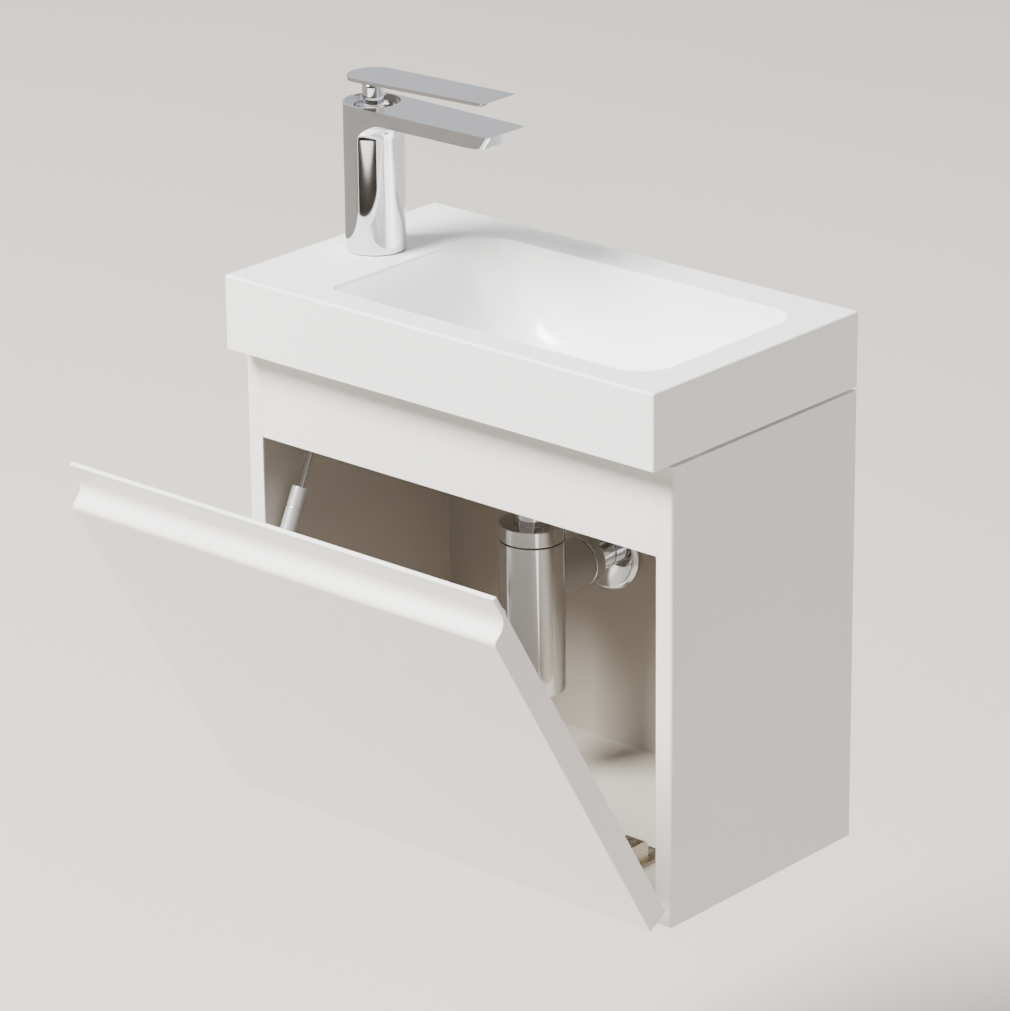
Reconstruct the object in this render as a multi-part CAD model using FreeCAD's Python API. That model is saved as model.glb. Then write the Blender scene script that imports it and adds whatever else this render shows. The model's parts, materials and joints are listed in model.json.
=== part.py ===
import FreeCAD, Part
import os
from math import acos, atan2, cos, degrees, hypot, radians, sin, sqrt

# A wall-hung vanity cabinet with a tilting front, a washbasin with a side tap, and its bottle trap.
# Millimetres. +X is to the right, +Y runs into the wall, +Z is up.
# The origin is midway between the two wall fixing holes, on the wall plane.

V = FreeCAD.Vector

# ---------------------------------------------------------------- driving dimensions
WIDTH = 500.0               # overall width, basin and carcass alike
DEPTH = 280.0               # wall to basin front
BASIN_HEIGHT = 70.0
CARCASS_HEIGHT = 430.0
BOARD = 18.0                # carcass board thickness
BACK_BOARD = 3.0
BASIN_LIFT = 3.0            # pads between carcass and basin
CARCASS_SETBACK = 25.0      # basin front to carcass front
FASCIA_HEIGHT = 85.0
RAIL_HEIGHT = 80.0
FIXING_DROP = 113.0         # basin top to wall fixing holes
FIXING_SPACING = 350.0
FIXING_HOLE_R = 4.5
SIDE_EDGE_R = 3.0

DOOR_THICKNESS = 24.5
DOOR_HEIGHT = 425.0
DOOR_SIDE_GAP = 2.0
DOOR_PROUD = 3.1            # closed door front ahead of the basin front
DOOR_LIFT = 7.3             # closed door bottom above the carcass bottom
DOOR_OPEN = 31.0            # rest position of the door, in degrees
DOOR_EDGE_R = 2.5
BUMPER_R = 5.0
BUMPER_T = 2.6
LIP_THICKNESS = 4.5
LIP_HEIGHT = 29.5           # pull lip above the cove floor
COVE_FALL = 4.5             # the cove floor drops towards the front
COVE_R = 9.0
NOSE_R = 4.0

HINGE_FROM_SIDE = 90.0
HINGE_INSET = 5.5           # pin behind the door's front face
HINGE_RISE = 3.5            # pin above the door's bottom edge
HINGE_PIN_R = 1.5
HINGE_EYE_R = 3.0
HINGE_PIN_GAP = 0.05
HINGE_ARM_WIDTH = 12.0
HINGE_BODY_WIDTH = 22.0
HINGE_BODY_LENGTH = 58.0
HINGE_BODY_HEIGHT = 19.0
HINGE_CUP_WIDTH = 30.0
HINGE_CUP_HEIGHT = 20.0
HINGE_CUP_FRONT = 2.0       # door skin left in front of the cup
HINGE_SIDE_PLAY = 0.5
HINGE_PLATE_T = 2.5
HINGE_PLATE_FRONT = 6.0      # plate behind the carcass front
HINGE_PLATE_SPARE = 22.0     # plate length beyond the arm, for its screws

STRUT_FROM_SIDE = 34.0      # outer face of the cabinet to the strut's axis
STRUT_TOP_BACK = 108.3      # upper pivot behind the basin front
STRUT_TOP_DROP = 105.0      # upper pivot below the basin top
STRUT_ON_DOOR = 111.4       # lower pivot above the door's bottom edge
STRUT_OFF_DOOR = 12.0       # lower pivot behind the door's rear face
ROD_R = 3.0
ROD_EXPOSED = 119.0
ROD_INSIDE = 60.0
TUBE_R = 7.75
TUBE_BORE_R = 6.0
TUBE_END_WALL = 12.0
COLLAR_LENGTH = 19.0
GROOVE_WIDTH = 1.0
GROOVE_DEPTH = 0.7
EYE_R = 8.0
EYE_WIDTH = 10.0
STUD_R = 4.0
STUD_GAP = 0.05
BRACKET_T = 2.0
DOOR_BRACKET_REACH = 17.0    # door bracket past the strut axis
DOOR_BRACKET_HALF = 14.0

BOWL_LEFT = 97.0            # left deck, where the tap stands
BOWL_RIGHT = 33.0
BOWL_FRONT = 30.0
BOWL_BACK = 40.0
BOWL_DEPTH = 88.0
BOWL_CORNER_R = 42.0
# The bowl at five depths: how far its tap side, and its other sides, have closed in on the drain.
BOWL_STEPS = [(0.0, 0.0, 0.0), (0.3, 0.06, 0.3), (0.53, 0.2, 0.62), (0.75, 0.52, 0.88), (1.0, 1.0, 1.0)]
BOWL_WALL = 11.0
BASIN_WALL = 14.0
BASIN_OVERHANG_WALL = 2.0   # the solid front of the basin reaches this far behind the carcass front
BASIN_DECK = 16.0
BASIN_EDGE_R = 2.5
PAD_LENGTH = 40.0

DRAIN_X = 216.0             # from the cabinet's left side
DRAIN_Y = 170.0             # from the basin front
DRAIN_R = 20.0
DRAIN_SEAT_R = 38.0
FLANGE_R = 32.0
FLANGE_T = 3.0
WASTE_LENGTH = 58.0
WASTE_WALL = 2.5
PLUG_R = 22.0
PLUG_LIFT = 7.0
PLUG_STEM_R = 4.0
PLUG_DOME = 4.0
CROSS_T = 3.0
CROSS_DROP = 24.0           # cross in the waste below the bowl
WASTE_CLEARANCE = 0.5
SEAL_T = 3.0
WASTE_NUT_T = 8.0
WASTE_NUT_FLATS = 56.0
UNION_WALL = 4.0
UNION_OVERLAP = 14.0
UNION_NECK = 12.0

PIPE_R = 16.0
PIPE_WALL = 1.2
SPIGOT_R = 15.5
SPIGOT_LENGTH = 40.0
TRAP_R = 30.5
TRAP_WALL = 2.0
TRAP_TOP = 234.6            # below the basin top
TRAP_CAP_HEIGHT = 15.0
CAP_ROOF = 4.0
TRAP_BODY_HEIGHT = 147.0
TRAP_DIP = 95.0             # inlet tube below the trap's cap seal
ARM_DROP = 293.4            # outlet axis below the basin top
SOCKET_R = 23.5
SOCKET_REACH = 63.0         # trap axis to the socket's face
RING_T = 1.0
NUT_LENGTH = 13.0
ROSETTE_R = 40.0
ROSETTE_DEPTH = 7.0

TAP_X = 52.0                # from the cabinet's left side
TAP_Y = 145.0               # from the basin front
TAP_R = 28.0
TAP_HEIGHT = 139.0
SPOUT_REACH = 160.0
SPOUT_TIP_WIDTH = 50.0
SPOUT_T = 13.0
SPOUT_CORNER_R = 4.0
SPOUT_UNDERCUT = 9.0        # how far the spout's tip leans in at its underside
SPOUT_BLEND_R = 18.0
AERATOR_REACH = 137.0
AERATOR_R = 12.0
AERATOR_DEPTH = 8.0
WATERWAY_R = 4.0
RISER_R = 6.0
TAP_POCKET_R = 25.0
TAP_POCKET_DEPTH = 4.0
STEM_R = 10.0
LEVER_RISE = 25.0           # lever's top above the tap's rim, at the stem
LEVER_BACK_R = 23.5
LEVER_REACH = 153.0
LEVER_TIP_WIDTH = 42.6
LEVER_T = 3.2
LEVER_UNDERCUT = 5.0
TIP_LAND = 0.8              # upright strip left at the top of both tips
LEVER_SLOPE = 1.6           # degrees
CARTRIDGE_R = 17.5
CARTRIDGE_LENGTH = 40.0
CARTRIDGE_DROP = 8.0         # cartridge top below the tap's pocket
CARTRIDGE_NUT_T = 2.5
CARRIER_R = 9.0
CARRIER_DEEP = 12.0
SPINDLE_R = 3.5
SPINDLE_PLAY = 0.3
TILT_PIN_R = 1.5
TILT_PIN_GAP = 0.05
TILT_DROP = 6.0             # tilt pin below the cartridge top
FLARE_HEIGHT = 9.0
FLARE_INSET = 5.0            # flare narrower than the lever's back
SHANK_R = 16.5
SHANK_LENGTH = 60.0
TAP_HOLE_R = 17.5
GASKET_T = 1.0
INLET_R = 4.5
INLET_DEPTH = 12.0
INLET_OFFSET = 8.0
SHANK_ENGAGED = 14.0         # shank inside the tap's foot
WASHER_R = 26.0
WASHER_T = 2.0
BACKNUT_T = 8.0
BACKNUT_FLATS = 45.0

DOWEL_R = 4.0
DOWEL_LENGTH = 30.0
DOWEL_IN_SIDE = 10.0
SCREW_R = 2.0
SCREW_HEAD_R = 4.0
SCREW_HEAD_T = 1.8

# ---------------------------------------------------------------- planes worked out from them
LEFT = -WIDTH / 2
RIGHT = WIDTH / 2
FRONT = -DEPTH
TOP = FIXING_DROP
BASIN_BOTTOM = TOP - BASIN_HEIGHT
CARCASS_TOP = BASIN_BOTTOM - BASIN_LIFT
CARCASS_BOTTOM = CARCASS_TOP - CARCASS_HEIGHT
CARCASS_FRONT = FRONT + CARCASS_SETBACK
INNER_LEFT = LEFT + BOARD
INNER_RIGHT = RIGHT - BOARD
BACK_FACE = -BACK_BOARD
FLOOR_TOP = CARCASS_BOTTOM + BOARD
DOOR_FRONT = FRONT - DOOR_PROUD
DOOR_REAR = DOOR_FRONT + DOOR_THICKNESS
DOOR_BOTTOM = CARCASS_BOTTOM + DOOR_LIFT
DOOR_TOP = DOOR_BOTTOM + DOOR_HEIGHT
HINGE_Y = DOOR_FRONT + HINGE_INSET
HINGE_Z = DOOR_BOTTOM + HINGE_RISE
STRUT_X = LEFT + STRUT_FROM_SIDE
DRAIN = V(LEFT + DRAIN_X, FRONT + DRAIN_Y, 0)
TAP = V(LEFT + TAP_X, FRONT + TAP_Y, 0)
BOWL_BOTTOM = TOP - BOWL_DEPTH
TAP_TOP = TOP + TAP_HEIGHT
ARM_Z = TOP - ARM_DROP


# ---------------------------------------------------------------- shape helpers
def block(x0, x1, y0, y1, z0, z1):
    return Part.makeBox(x1 - x0, y1 - y0, z1 - z0, V(x0, y0, z0))


def rod_z(at, radius, z0, z1):
    return Part.makeCylinder(radius, z1 - z0, V(at.x, at.y, z0), V(0, 0, 1))


def tube_z(at, outer, inner, z0, z1):
    return rod_z(at, outer, z0, z1).cut(rod_z(at, inner, z0 - 1, z1 + 1))


def rod_y(x, z, radius, y0, y1):
    return Part.makeCylinder(radius, y1 - y0, V(x, y0, z), V(0, 1, 0))


def tube_y(x, z, outer, inner, y0, y1):
    return rod_y(x, z, outer, y0, y1).cut(rod_y(x, z, inner, y0 - 1, y1 + 1))


def rod_x(y, z, radius, x0, x1):
    return Part.makeCylinder(radius, x1 - x0, V(x0, y, z), V(1, 0, 0))


def hexagon_z(at, across_flats, z0, z1):
    radius = across_flats / 2 / cos(radians(30))
    corners = [V(at.x + radius * cos(radians(60 * k)), at.y + radius * sin(radians(60 * k)), z0)
               for k in range(6)]
    return Part.Face(Part.makePolygon(corners + corners[:1])).extrude(V(0, 0, z1 - z0))


def rounded_rectangle(x0, x1, y0, y1, radius, z):
    """A closed wire of four straight sides and four quarter-circle corners."""
    diagonal = radius * (1 - sqrt(0.5))
    sides = [(V(x0 + radius, y0, z), V(x1 - radius, y0, z)),
             (V(x1, y0 + radius, z), V(x1, y1 - radius, z)),
             (V(x1 - radius, y1, z), V(x0 + radius, y1, z)),
             (V(x0, y1 - radius, z), V(x0, y0 + radius, z))]
    middles = [V(x1 - diagonal, y0 + diagonal, z), V(x1 - diagonal, y1 - diagonal, z),
               V(x0 + diagonal, y1 - diagonal, z), V(x0 + diagonal, y0 + diagonal, z)]
    edges = []
    for k, (start, end) in enumerate(sides):
        edges.append(Part.LineSegment(start, end).toShape())
        edges.append(Part.Arc(end, middles[k], sides[(k + 1) % 4][0]).toShape())
    return Part.Wire(edges)


def straight_edges(shape, direction, keep):
    """Edges that run along direction and whose middle passes the keep test."""
    found = []
    for edge in shape.Edges:
        if not isinstance(edge.Curve, (Part.Line, Part.LineSegment)):
            continue
        along = edge.Vertexes[-1].Point.sub(edge.Vertexes[0].Point).normalize()
        if abs(along.dot(direction)) > 0.999 and keep(edge.CenterOfMass):
            found.append(edge)
    return found


def opened(shape):
    """Turn a piece of the closed door to the door's rest position."""
    turned = shape.copy()
    turned.rotate(V(0, HINGE_Y, HINGE_Z), V(1, 0, 0), DOOR_OPEN)
    return turned


def save(node, *solids):
    shape = solids[0] if len(solids) == 1 else Part.makeCompound(list(solids))
    shape.exportStep("parts/" + node + ".step")


os.makedirs("parts", exist_ok=True)

# ---------------------------------------------------------------- carcass
dowels = []
floor_y = [CARCASS_FRONT + f * (-CARCASS_FRONT - BACK_BOARD) for f in (0.15, 0.5, 0.85)]
dowel_rows = [(y, CARCASS_BOTTOM + BOARD / 2) for y in floor_y]
dowel_rows += [(CARCASS_FRONT + BOARD / 2, CARCASS_TOP - f * FASCIA_HEIGHT) for f in (0.25, 0.75)]
dowel_rows += [(BACK_FACE - BOARD / 2, CARCASS_TOP - f * RAIL_HEIGHT) for f in (0.25, 0.75)]
for y, z in dowel_rows:
    for start in (INNER_LEFT - DOWEL_IN_SIDE, INNER_RIGHT + DOWEL_IN_SIDE - DOWEL_LENGTH):
        dowels.append(rod_x(y, z, DOWEL_R, start, start + DOWEL_LENGTH))
dowel_group = Part.makeCompound(dowels)

wall_holes = Part.makeCompound([rod_y(side * FIXING_SPACING / 2, 0, FIXING_HOLE_R, -BOARD - BACK_BOARD - 1, 1)
                                for side in (-1, 1)])


def side_panel(x0, x1, outer_x):
    panel = block(x0, x1, CARCASS_FRONT, 0, CARCASS_BOTTOM, CARCASS_TOP)
    front_edge = straight_edges(panel, V(0, 0, 1),
                                lambda c: c.y < CARCASS_FRONT + 1 and abs(c.x - outer_x) < 1)
    panel = panel.makeFillet(SIDE_EDGE_R, front_edge)
    return panel.cut(dowel_group)


strut_top_y = FRONT + STRUT_TOP_BACK
strut_top_z = TOP - STRUT_TOP_DROP
panel_screw_spots = [(strut_top_y - 10, strut_top_z), (strut_top_y + 10, strut_top_z)]
panel_screws = []
for y, z in panel_screw_spots:
    shank = rod_x(y, z, SCREW_R, INNER_LEFT - 12, INNER_LEFT + BRACKET_T)
    head = rod_x(y, z, SCREW_HEAD_R, INNER_LEFT + BRACKET_T, INNER_LEFT + BRACKET_T + SCREW_HEAD_T)
    panel_screws.append(shank.fuse(head).removeSplitter())
panel_screw_group = Part.makeCompound(panel_screws)

save("side_panel_left", side_panel(LEFT, INNER_LEFT, LEFT).cut(panel_screw_group))
save("side_panel_right", side_panel(INNER_RIGHT, RIGHT, RIGHT))

# Hinges stand on the floor. Each one is a screwed plate, an arm on it, a pin, and a cup in the door.
HINGE_XS = {"left": LEFT + HINGE_FROM_SIDE, "right": RIGHT - HINGE_FROM_SIDE}
plate_front = CARCASS_FRONT + HINGE_PLATE_FRONT
plate_top = FLOOR_TOP + HINGE_PLATE_T
plate_back = plate_front + HINGE_BODY_LENGTH + HINGE_PLATE_SPARE
hinge_screws = []
for x in HINGE_XS.values():
    for y in (plate_front + 6 + HINGE_BODY_LENGTH, plate_back - 7):
        shank = rod_z(V(x, y, 0), SCREW_R, FLOOR_TOP - 12, plate_top)
        head = rod_z(V(x, y, 0), SCREW_HEAD_R, plate_top, plate_top + SCREW_HEAD_T)
        hinge_screws.append(shank.fuse(head).removeSplitter())
hinge_screw_group = Part.makeCompound(hinge_screws)

floor = block(INNER_LEFT, INNER_RIGHT, CARCASS_FRONT, BACK_FACE, CARCASS_BOTTOM, FLOOR_TOP)
save("floor_panel", floor.cut(dowel_group).cut(hinge_screw_group))
fascia = block(INNER_LEFT, INNER_RIGHT, CARCASS_FRONT, CARCASS_FRONT + BOARD,
               CARCASS_TOP - FASCIA_HEIGHT, CARCASS_TOP)
save("fascia_panel", fascia.cut(dowel_group))
rail = block(INNER_LEFT, INNER_RIGHT, BACK_FACE - BOARD, BACK_FACE, CARCASS_TOP - RAIL_HEIGHT, CARCASS_TOP)
save("hanging_rail", rail.cut(dowel_group).cut(wall_holes))
waste_hole = rod_y(DRAIN.x, ARM_Z, PIPE_R + 6, -BACK_BOARD - 1, 1)
back = block(INNER_LEFT, INNER_RIGHT, BACK_FACE, 0, CARCASS_BOTTOM, CARCASS_TOP)
save("back_panel", back.cut(wall_holes).cut(waste_hole))
save("carcass_dowels", *dowels)
save("hinge_screws", *hinge_screws)


# ---------------------------------------------------------------- hinges
def hinge_neck():
    """Side outline of the arm's neck: from the pin eye up over the floor's front edge."""
    rise = plate_top + HINGE_EYE_R - HINGE_Z
    run = CARCASS_FRONT - HINGE_Y - 1
    length = hypot(run, rise)
    off_y = -HINGE_EYE_R * rise / length
    off_z = HINGE_EYE_R * run / length
    bend_y = HINGE_Y + run
    bend_z = HINGE_Z + rise
    back_y = plate_front + 10
    return [V(0, HINGE_Y + off_y, HINGE_Z + off_z), V(0, HINGE_Y - off_y, HINGE_Z - off_z),
            V(0, bend_y + 1, bend_z - HINGE_EYE_R), V(0, back_y, bend_z - HINGE_EYE_R),
            V(0, back_y, bend_z + HINGE_EYE_R), V(0, bend_y - 1, bend_z + HINGE_EYE_R)]


def hinge_arm(x):
    outline = hinge_neck()
    neck = Part.Face(Part.makePolygon(outline + outline[:1])).extrude(V(HINGE_ARM_WIDTH, 0, 0))
    neck.translate(V(x - HINGE_ARM_WIDTH / 2, 0, 0))
    eye = rod_x(HINGE_Y, HINGE_Z, HINGE_EYE_R, x - HINGE_ARM_WIDTH / 2, x + HINGE_ARM_WIDTH / 2)
    body = block(x - HINGE_BODY_WIDTH / 2, x + HINGE_BODY_WIDTH / 2, plate_front + 4,
                 plate_front + HINGE_BODY_LENGTH, plate_top,
                 plate_top + HINGE_BODY_HEIGHT)
    top_edges = straight_edges(body, V(1, 0, 0), lambda c: c.z > plate_top + 1)
    body = body.makeFillet(HINGE_BODY_HEIGHT / 3, top_edges)
    arm = neck.fuse(eye).fuse(body).removeSplitter()
    bore = rod_x(HINGE_Y, HINGE_Z, HINGE_PIN_R + HINGE_PIN_GAP, x - HINGE_CUP_WIDTH, x + HINGE_CUP_WIDTH)
    return arm.cut(bore)


def hinge_cup_block(x):
    return block(x - HINGE_CUP_WIDTH / 2, x + HINGE_CUP_WIDTH / 2, DOOR_FRONT + HINGE_CUP_FRONT, DOOR_REAR,
                 DOOR_BOTTOM, DOOR_BOTTOM + HINGE_CUP_HEIGHT)


def hinge_pin(x):
    reach = HINGE_CUP_WIDTH / 2 - 2
    return rod_x(HINGE_Y, HINGE_Z, HINGE_PIN_R, x - reach, x + reach)


cup_screws = []
for x in HINGE_XS.values():
    for offset in (-HINGE_CUP_WIDTH / 2 + 4, HINGE_CUP_WIDTH / 2 - 4):
        cup_screws.append(rod_z(V(x + offset, DOOR_REAR - 7, 0), SCREW_R, DOOR_BOTTOM,
                                DOOR_BOTTOM + HINGE_CUP_HEIGHT + 8))
cup_screw_group = Part.makeCompound(cup_screws)

for side, x in HINGE_XS.items():
    plate = block(x - HINGE_BODY_WIDTH / 2 - 5, x + HINGE_BODY_WIDTH / 2 + 5, plate_front, plate_back,
                  FLOOR_TOP, plate_top)
    save("hinge_plate_" + side, plate.cut(hinge_screw_group))
    save("hinge_arm_" + side, hinge_arm(x))
    save("hinge_pin_" + side, opened(hinge_pin(x)))
    slot_half = HINGE_ARM_WIDTH / 2 + HINGE_SIDE_PLAY
    slot = block(x - slot_half, x + slot_half, DOOR_FRONT, DOOR_REAR + 1, DOOR_BOTTOM - 1,
                 DOOR_BOTTOM + HINGE_CUP_HEIGHT + 1)
    cup = hinge_cup_block(x).cut(slot).cut(hinge_pin(x))
    save("hinge_cup_" + side, *[opened(cheek.cut(cup_screw_group)) for cheek in cup.Solids])

# ---------------------------------------------------------------- door
door_left = LEFT + DOOR_SIDE_GAP
door_right = RIGHT - DOOR_SIDE_GAP
lip_front = DOOR_REAR - LIP_THICKNESS
cove_back = DOOR_TOP - LIP_HEIGHT
outline = [V(door_left, DOOR_FRONT, DOOR_BOTTOM), V(door_left, DOOR_REAR, DOOR_BOTTOM),
           V(door_left, DOOR_REAR, DOOR_TOP), V(door_left, lip_front, DOOR_TOP),
           V(door_left, lip_front, cove_back), V(door_left, DOOR_FRONT, cove_back - COVE_FALL)]
door = Part.Face(Part.makePolygon(outline + outline[:1])).extrude(V(door_right - door_left, 0, 0))
cove_edge = straight_edges(door, V(1, 0, 0),
                           lambda c: abs(c.y - lip_front) < 0.1 and abs(c.z - cove_back) < 0.1)
door = door.makeFillet(COVE_R, cove_edge)
nose_edge = straight_edges(door, V(1, 0, 0),
                           lambda c: abs(c.y - DOOR_FRONT) < 0.1 and c.z > DOOR_BOTTOM + DOOR_HEIGHT / 2)
door = door.makeFillet(NOSE_R, nose_edge)
side_edges = straight_edges(door, V(0, 0, 1), lambda c: abs(c.y - DOOR_FRONT) < 0.1)
door = door.makeChamfer(DOOR_EDGE_R / 2, side_edges)

door_strut_y = DOOR_REAR + STRUT_OFF_DOOR
door_strut_z = DOOR_BOTTOM + STRUT_ON_DOOR
bracket_left = INNER_LEFT + 2
door_screws = []
for z in (door_strut_z - 9, door_strut_z + 9):
    x = STRUT_X + 12
    shank = rod_y(x, z, SCREW_R, DOOR_REAR - 12, DOOR_REAR + BRACKET_T)
    head = rod_y(x, z, SCREW_HEAD_R, DOOR_REAR + BRACKET_T, DOOR_REAR + BRACKET_T + SCREW_HEAD_T)
    door_screws.append(shank.fuse(head).removeSplitter())
for x in HINGE_XS.values():
    door = door.cut(hinge_cup_block(x))
door = door.cut(Part.makeCompound(door_screws)).cut(cup_screw_group)
save("door_panel", opened(door))
save("hinge_cup_screws", *[opened(screw) for screw in cup_screws])

bumpers = []
for x in (LEFT + BOARD / 2, RIGHT - BOARD / 2):
    for z in (CARCASS_BOTTOM + 60, CARCASS_TOP - 20):
        dome = rod_y(x, z, BUMPER_R, DOOR_REAR, DOOR_REAR + BUMPER_T)
        rim = [edge for edge in dome.Edges if edge.CenterOfMass.y > DOOR_REAR + BUMPER_T - 0.1]
        bumpers.append(opened(dome.makeFillet(1.2, rim)))
save("door_bumpers", *bumpers)


# ---------------------------------------------------------------- door strut
def eye(y, z):
    ring = rod_x(y, z, EYE_R, STRUT_X - EYE_WIDTH / 2, STRUT_X + EYE_WIDTH / 2)
    return ring.cut(rod_x(y, z, STUD_R + STUD_GAP, STRUT_X - EYE_WIDTH, STRUT_X + EYE_WIDTH))


def stud(y, z, x0):
    """A pivot stud with a head that keeps the eye on it."""
    post = rod_x(y, z, STUD_R, x0, STRUT_X + EYE_WIDTH / 2 + 1)
    head = rod_x(y, z, STUD_R + 1.5, STRUT_X + EYE_WIDTH / 2 + 1, STRUT_X + EYE_WIDTH / 2 + 2.5)
    return post.fuse(head)


lower_closed = V(STRUT_X, door_strut_y, door_strut_z)
lower = opened(Part.Vertex(lower_closed)).Point
upper = V(STRUT_X, strut_top_y, strut_top_z)
span = lower.sub(upper)
strut_length = span.Length
down = V(span).normalize()


def strut_rod(radius, start, end):
    """A round bar on the strut's axis, between two distances from the upper pivot."""
    return Part.makeCylinder(radius, end - start, upper + V(down) * start, down)


upper_plate = block(INNER_LEFT, INNER_LEFT + BRACKET_T, strut_top_y - 17, strut_top_y + 17,
                    strut_top_z - 10, strut_top_z + 10)
upper_bracket = upper_plate.fuse(stud(strut_top_y, strut_top_z, INNER_LEFT)).removeSplitter()
save("strut_panel_bracket", upper_bracket.cut(panel_screw_group))
save("strut_panel_screws", *panel_screws)

rod_eye = eye(strut_top_y, strut_top_z).fuse(strut_rod(5.5, EYE_R - 1, EYE_R + 10).cut(
    rod_x(strut_top_y, strut_top_z, EYE_R - 0.5, STRUT_X - EYE_WIDTH, STRUT_X + EYE_WIDTH))).removeSplitter()
rod_socket = strut_rod(ROD_R, EYE_R + 2, EYE_R + 11)
save("strut_rod_eye", rod_eye.cut(rod_socket))
save("strut_rod", strut_rod(ROD_R, EYE_R + 2, ROD_EXPOSED + ROD_INSIDE))

tube_top = ROD_EXPOSED
groove_top = tube_top + COLLAR_LENGTH
tube_bottom = strut_length - EYE_R
bore = strut_rod(TUBE_BORE_R, tube_top - 1, tube_bottom - TUBE_END_WALL)
save("strut_collar", strut_rod(TUBE_R, tube_top, groove_top).cut(bore))
tube = strut_rod(TUBE_R, groove_top + GROOVE_WIDTH, tube_bottom)
tube = tube.fuse(strut_rod(TUBE_R - GROOVE_DEPTH, groove_top, groove_top + GROOVE_WIDTH + 1)).removeSplitter()
lower_eye = eye(lower.y, lower.z)
tube_seat = rod_x(lower.y, lower.z, EYE_R, STRUT_X - EYE_WIDTH, STRUT_X + EYE_WIDTH)
save("strut_tube", tube.cut(bore).cut(tube_seat))
save("strut_tube_eye", lower_eye)

bracket_z0 = door_strut_z - DOOR_BRACKET_HALF
bracket_z1 = door_strut_z + DOOR_BRACKET_HALF
bracket_right = STRUT_X + DOOR_BRACKET_REACH
base = block(bracket_left, bracket_right, DOOR_REAR, DOOR_REAR + BRACKET_T, bracket_z0, bracket_z1)
cheek = block(bracket_left, bracket_left + BRACKET_T, DOOR_REAR, door_strut_y + 7, bracket_z0, bracket_z1)
door_bracket = base.fuse(cheek).fuse(stud(door_strut_y, door_strut_z, bracket_left)).removeSplitter()
save("strut_door_bracket", opened(door_bracket.cut(Part.makeCompound(door_screws))))
save("strut_door_screws", *[opened(screw) for screw in door_screws])

# ---------------------------------------------------------------- basin
# The bowl narrows from its rim to a round seat at the drain, which is off centre.
rim_box = (LEFT + BOWL_LEFT, RIGHT - BOWL_RIGHT, FRONT + BOWL_FRONT, -BOWL_BACK)
seat_box = (DRAIN.x - DRAIN_SEAT_R - 2, DRAIN.x + DRAIN_SEAT_R + 2,
            DRAIN.y - DRAIN_SEAT_R - 2, DRAIN.y + DRAIN_SEAT_R + 2)


def bowl_section(near_tap, elsewhere, depth, grow):
    """Outline of the bowl at a depth. A fraction of 0 is the rim, and 1 is the seat of the drain."""
    fractions = (near_tap, elsewhere, elsewhere, elsewhere)
    x0, x1, y0, y1 = [rim + (seat - rim) * part for rim, seat, part in zip(rim_box, seat_box, fractions)]
    radius = BOWL_CORNER_R + (DRAIN_SEAT_R - BOWL_CORNER_R) * elsewhere
    return rounded_rectangle(x0 - grow, x1 + grow, y0 - grow, y1 + grow, radius + grow, TOP - depth)


def bowl_solid(grow, lower_by, upper_by):
    sections = [bowl_section(near_tap, elsewhere, depth * BOWL_DEPTH + lower_by, grow)
                for near_tap, elsewhere, depth in BOWL_STEPS]
    sections.insert(0, bowl_section(0.0, 0.0, lower_by - upper_by, grow))
    return Part.makeLoft(sections, True, True)


basin = block(LEFT, RIGHT, FRONT, 0, BASIN_BOTTOM, TOP)
rounded = [edge for edge in basin.Edges
           if edge.CenterOfMass.z > BASIN_BOTTOM + 1 and edge.CenterOfMass.y < -1]
basin = basin.makeFillet(BASIN_EDGE_R, rounded)
underside = block(LEFT + BASIN_WALL, RIGHT - BASIN_WALL, CARCASS_FRONT + BASIN_OVERHANG_WALL, -BASIN_WALL,
                  BASIN_BOTTOM - 1, TOP - BASIN_DECK)
bowl_outside = bowl_solid(BOWL_WALL, BOWL_WALL, BASIN_DECK / 3)
drain_hole = rod_z(DRAIN, DRAIN_R, BOWL_BOTTOM - BOWL_WALL - 1, BOWL_BOTTOM + 1)
tap_hole = rod_z(TAP, TAP_HOLE_R, TOP - BASIN_DECK - 1, TOP + 1)
flange_seat = rod_z(DRAIN, FLANGE_R, BOWL_BOTTOM - FLANGE_T, BOWL_BOTTOM + 1)
basin = basin.cut(underside).fuse(bowl_outside).cut(bowl_solid(0.0, 0.0, 2.0))
basin = basin.cut(drain_hole).cut(tap_hole).cut(flange_seat)
save("basin", basin)

pads = []
for x0 in (LEFT + 2, INNER_RIGHT + 2):
    for y0 in (CARCASS_FRONT + 12, -12 - PAD_LENGTH):
        pads.append(block(x0, x0 + BASIN_WALL - 4, y0, y0 + PAD_LENGTH, CARCASS_TOP, BASIN_BOTTOM))
save("basin_pads", *pads)

# ---------------------------------------------------------------- basin waste
waste_top = BOWL_BOTTOM - FLANGE_T
waste_bottom = BOWL_BOTTOM - WASTE_LENGTH
waste_r = DRAIN_R - WASTE_CLEARANCE
flange = tube_z(DRAIN, FLANGE_R, waste_r, waste_top, BOWL_BOTTOM)
flange_rim = [edge for edge in flange.Edges
              if edge.CenterOfMass.z > BOWL_BOTTOM - 0.1 and edge.Length > 2 * 3.1 * (FLANGE_R - 1)]
save("waste_flange", flange.makeFillet(1.5, flange_rim))
waste = tube_z(DRAIN, waste_r, waste_r - WASTE_WALL, waste_bottom, BOWL_BOTTOM)
cross_z = BOWL_BOTTOM - CROSS_DROP
for turn in (0, 90):
    bar = block(-waste_r + 1, waste_r - 1, -CROSS_T / 2, CROSS_T / 2, cross_z - 4, cross_z)
    bar.rotate(V(0, 0, 0), V(0, 0, 1), turn)
    bar.translate(DRAIN)
    waste = waste.fuse(bar)
waste = waste.fuse(rod_z(DRAIN, PLUG_STEM_R + 2.5, cross_z - 4, cross_z)).removeSplitter()
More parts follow.
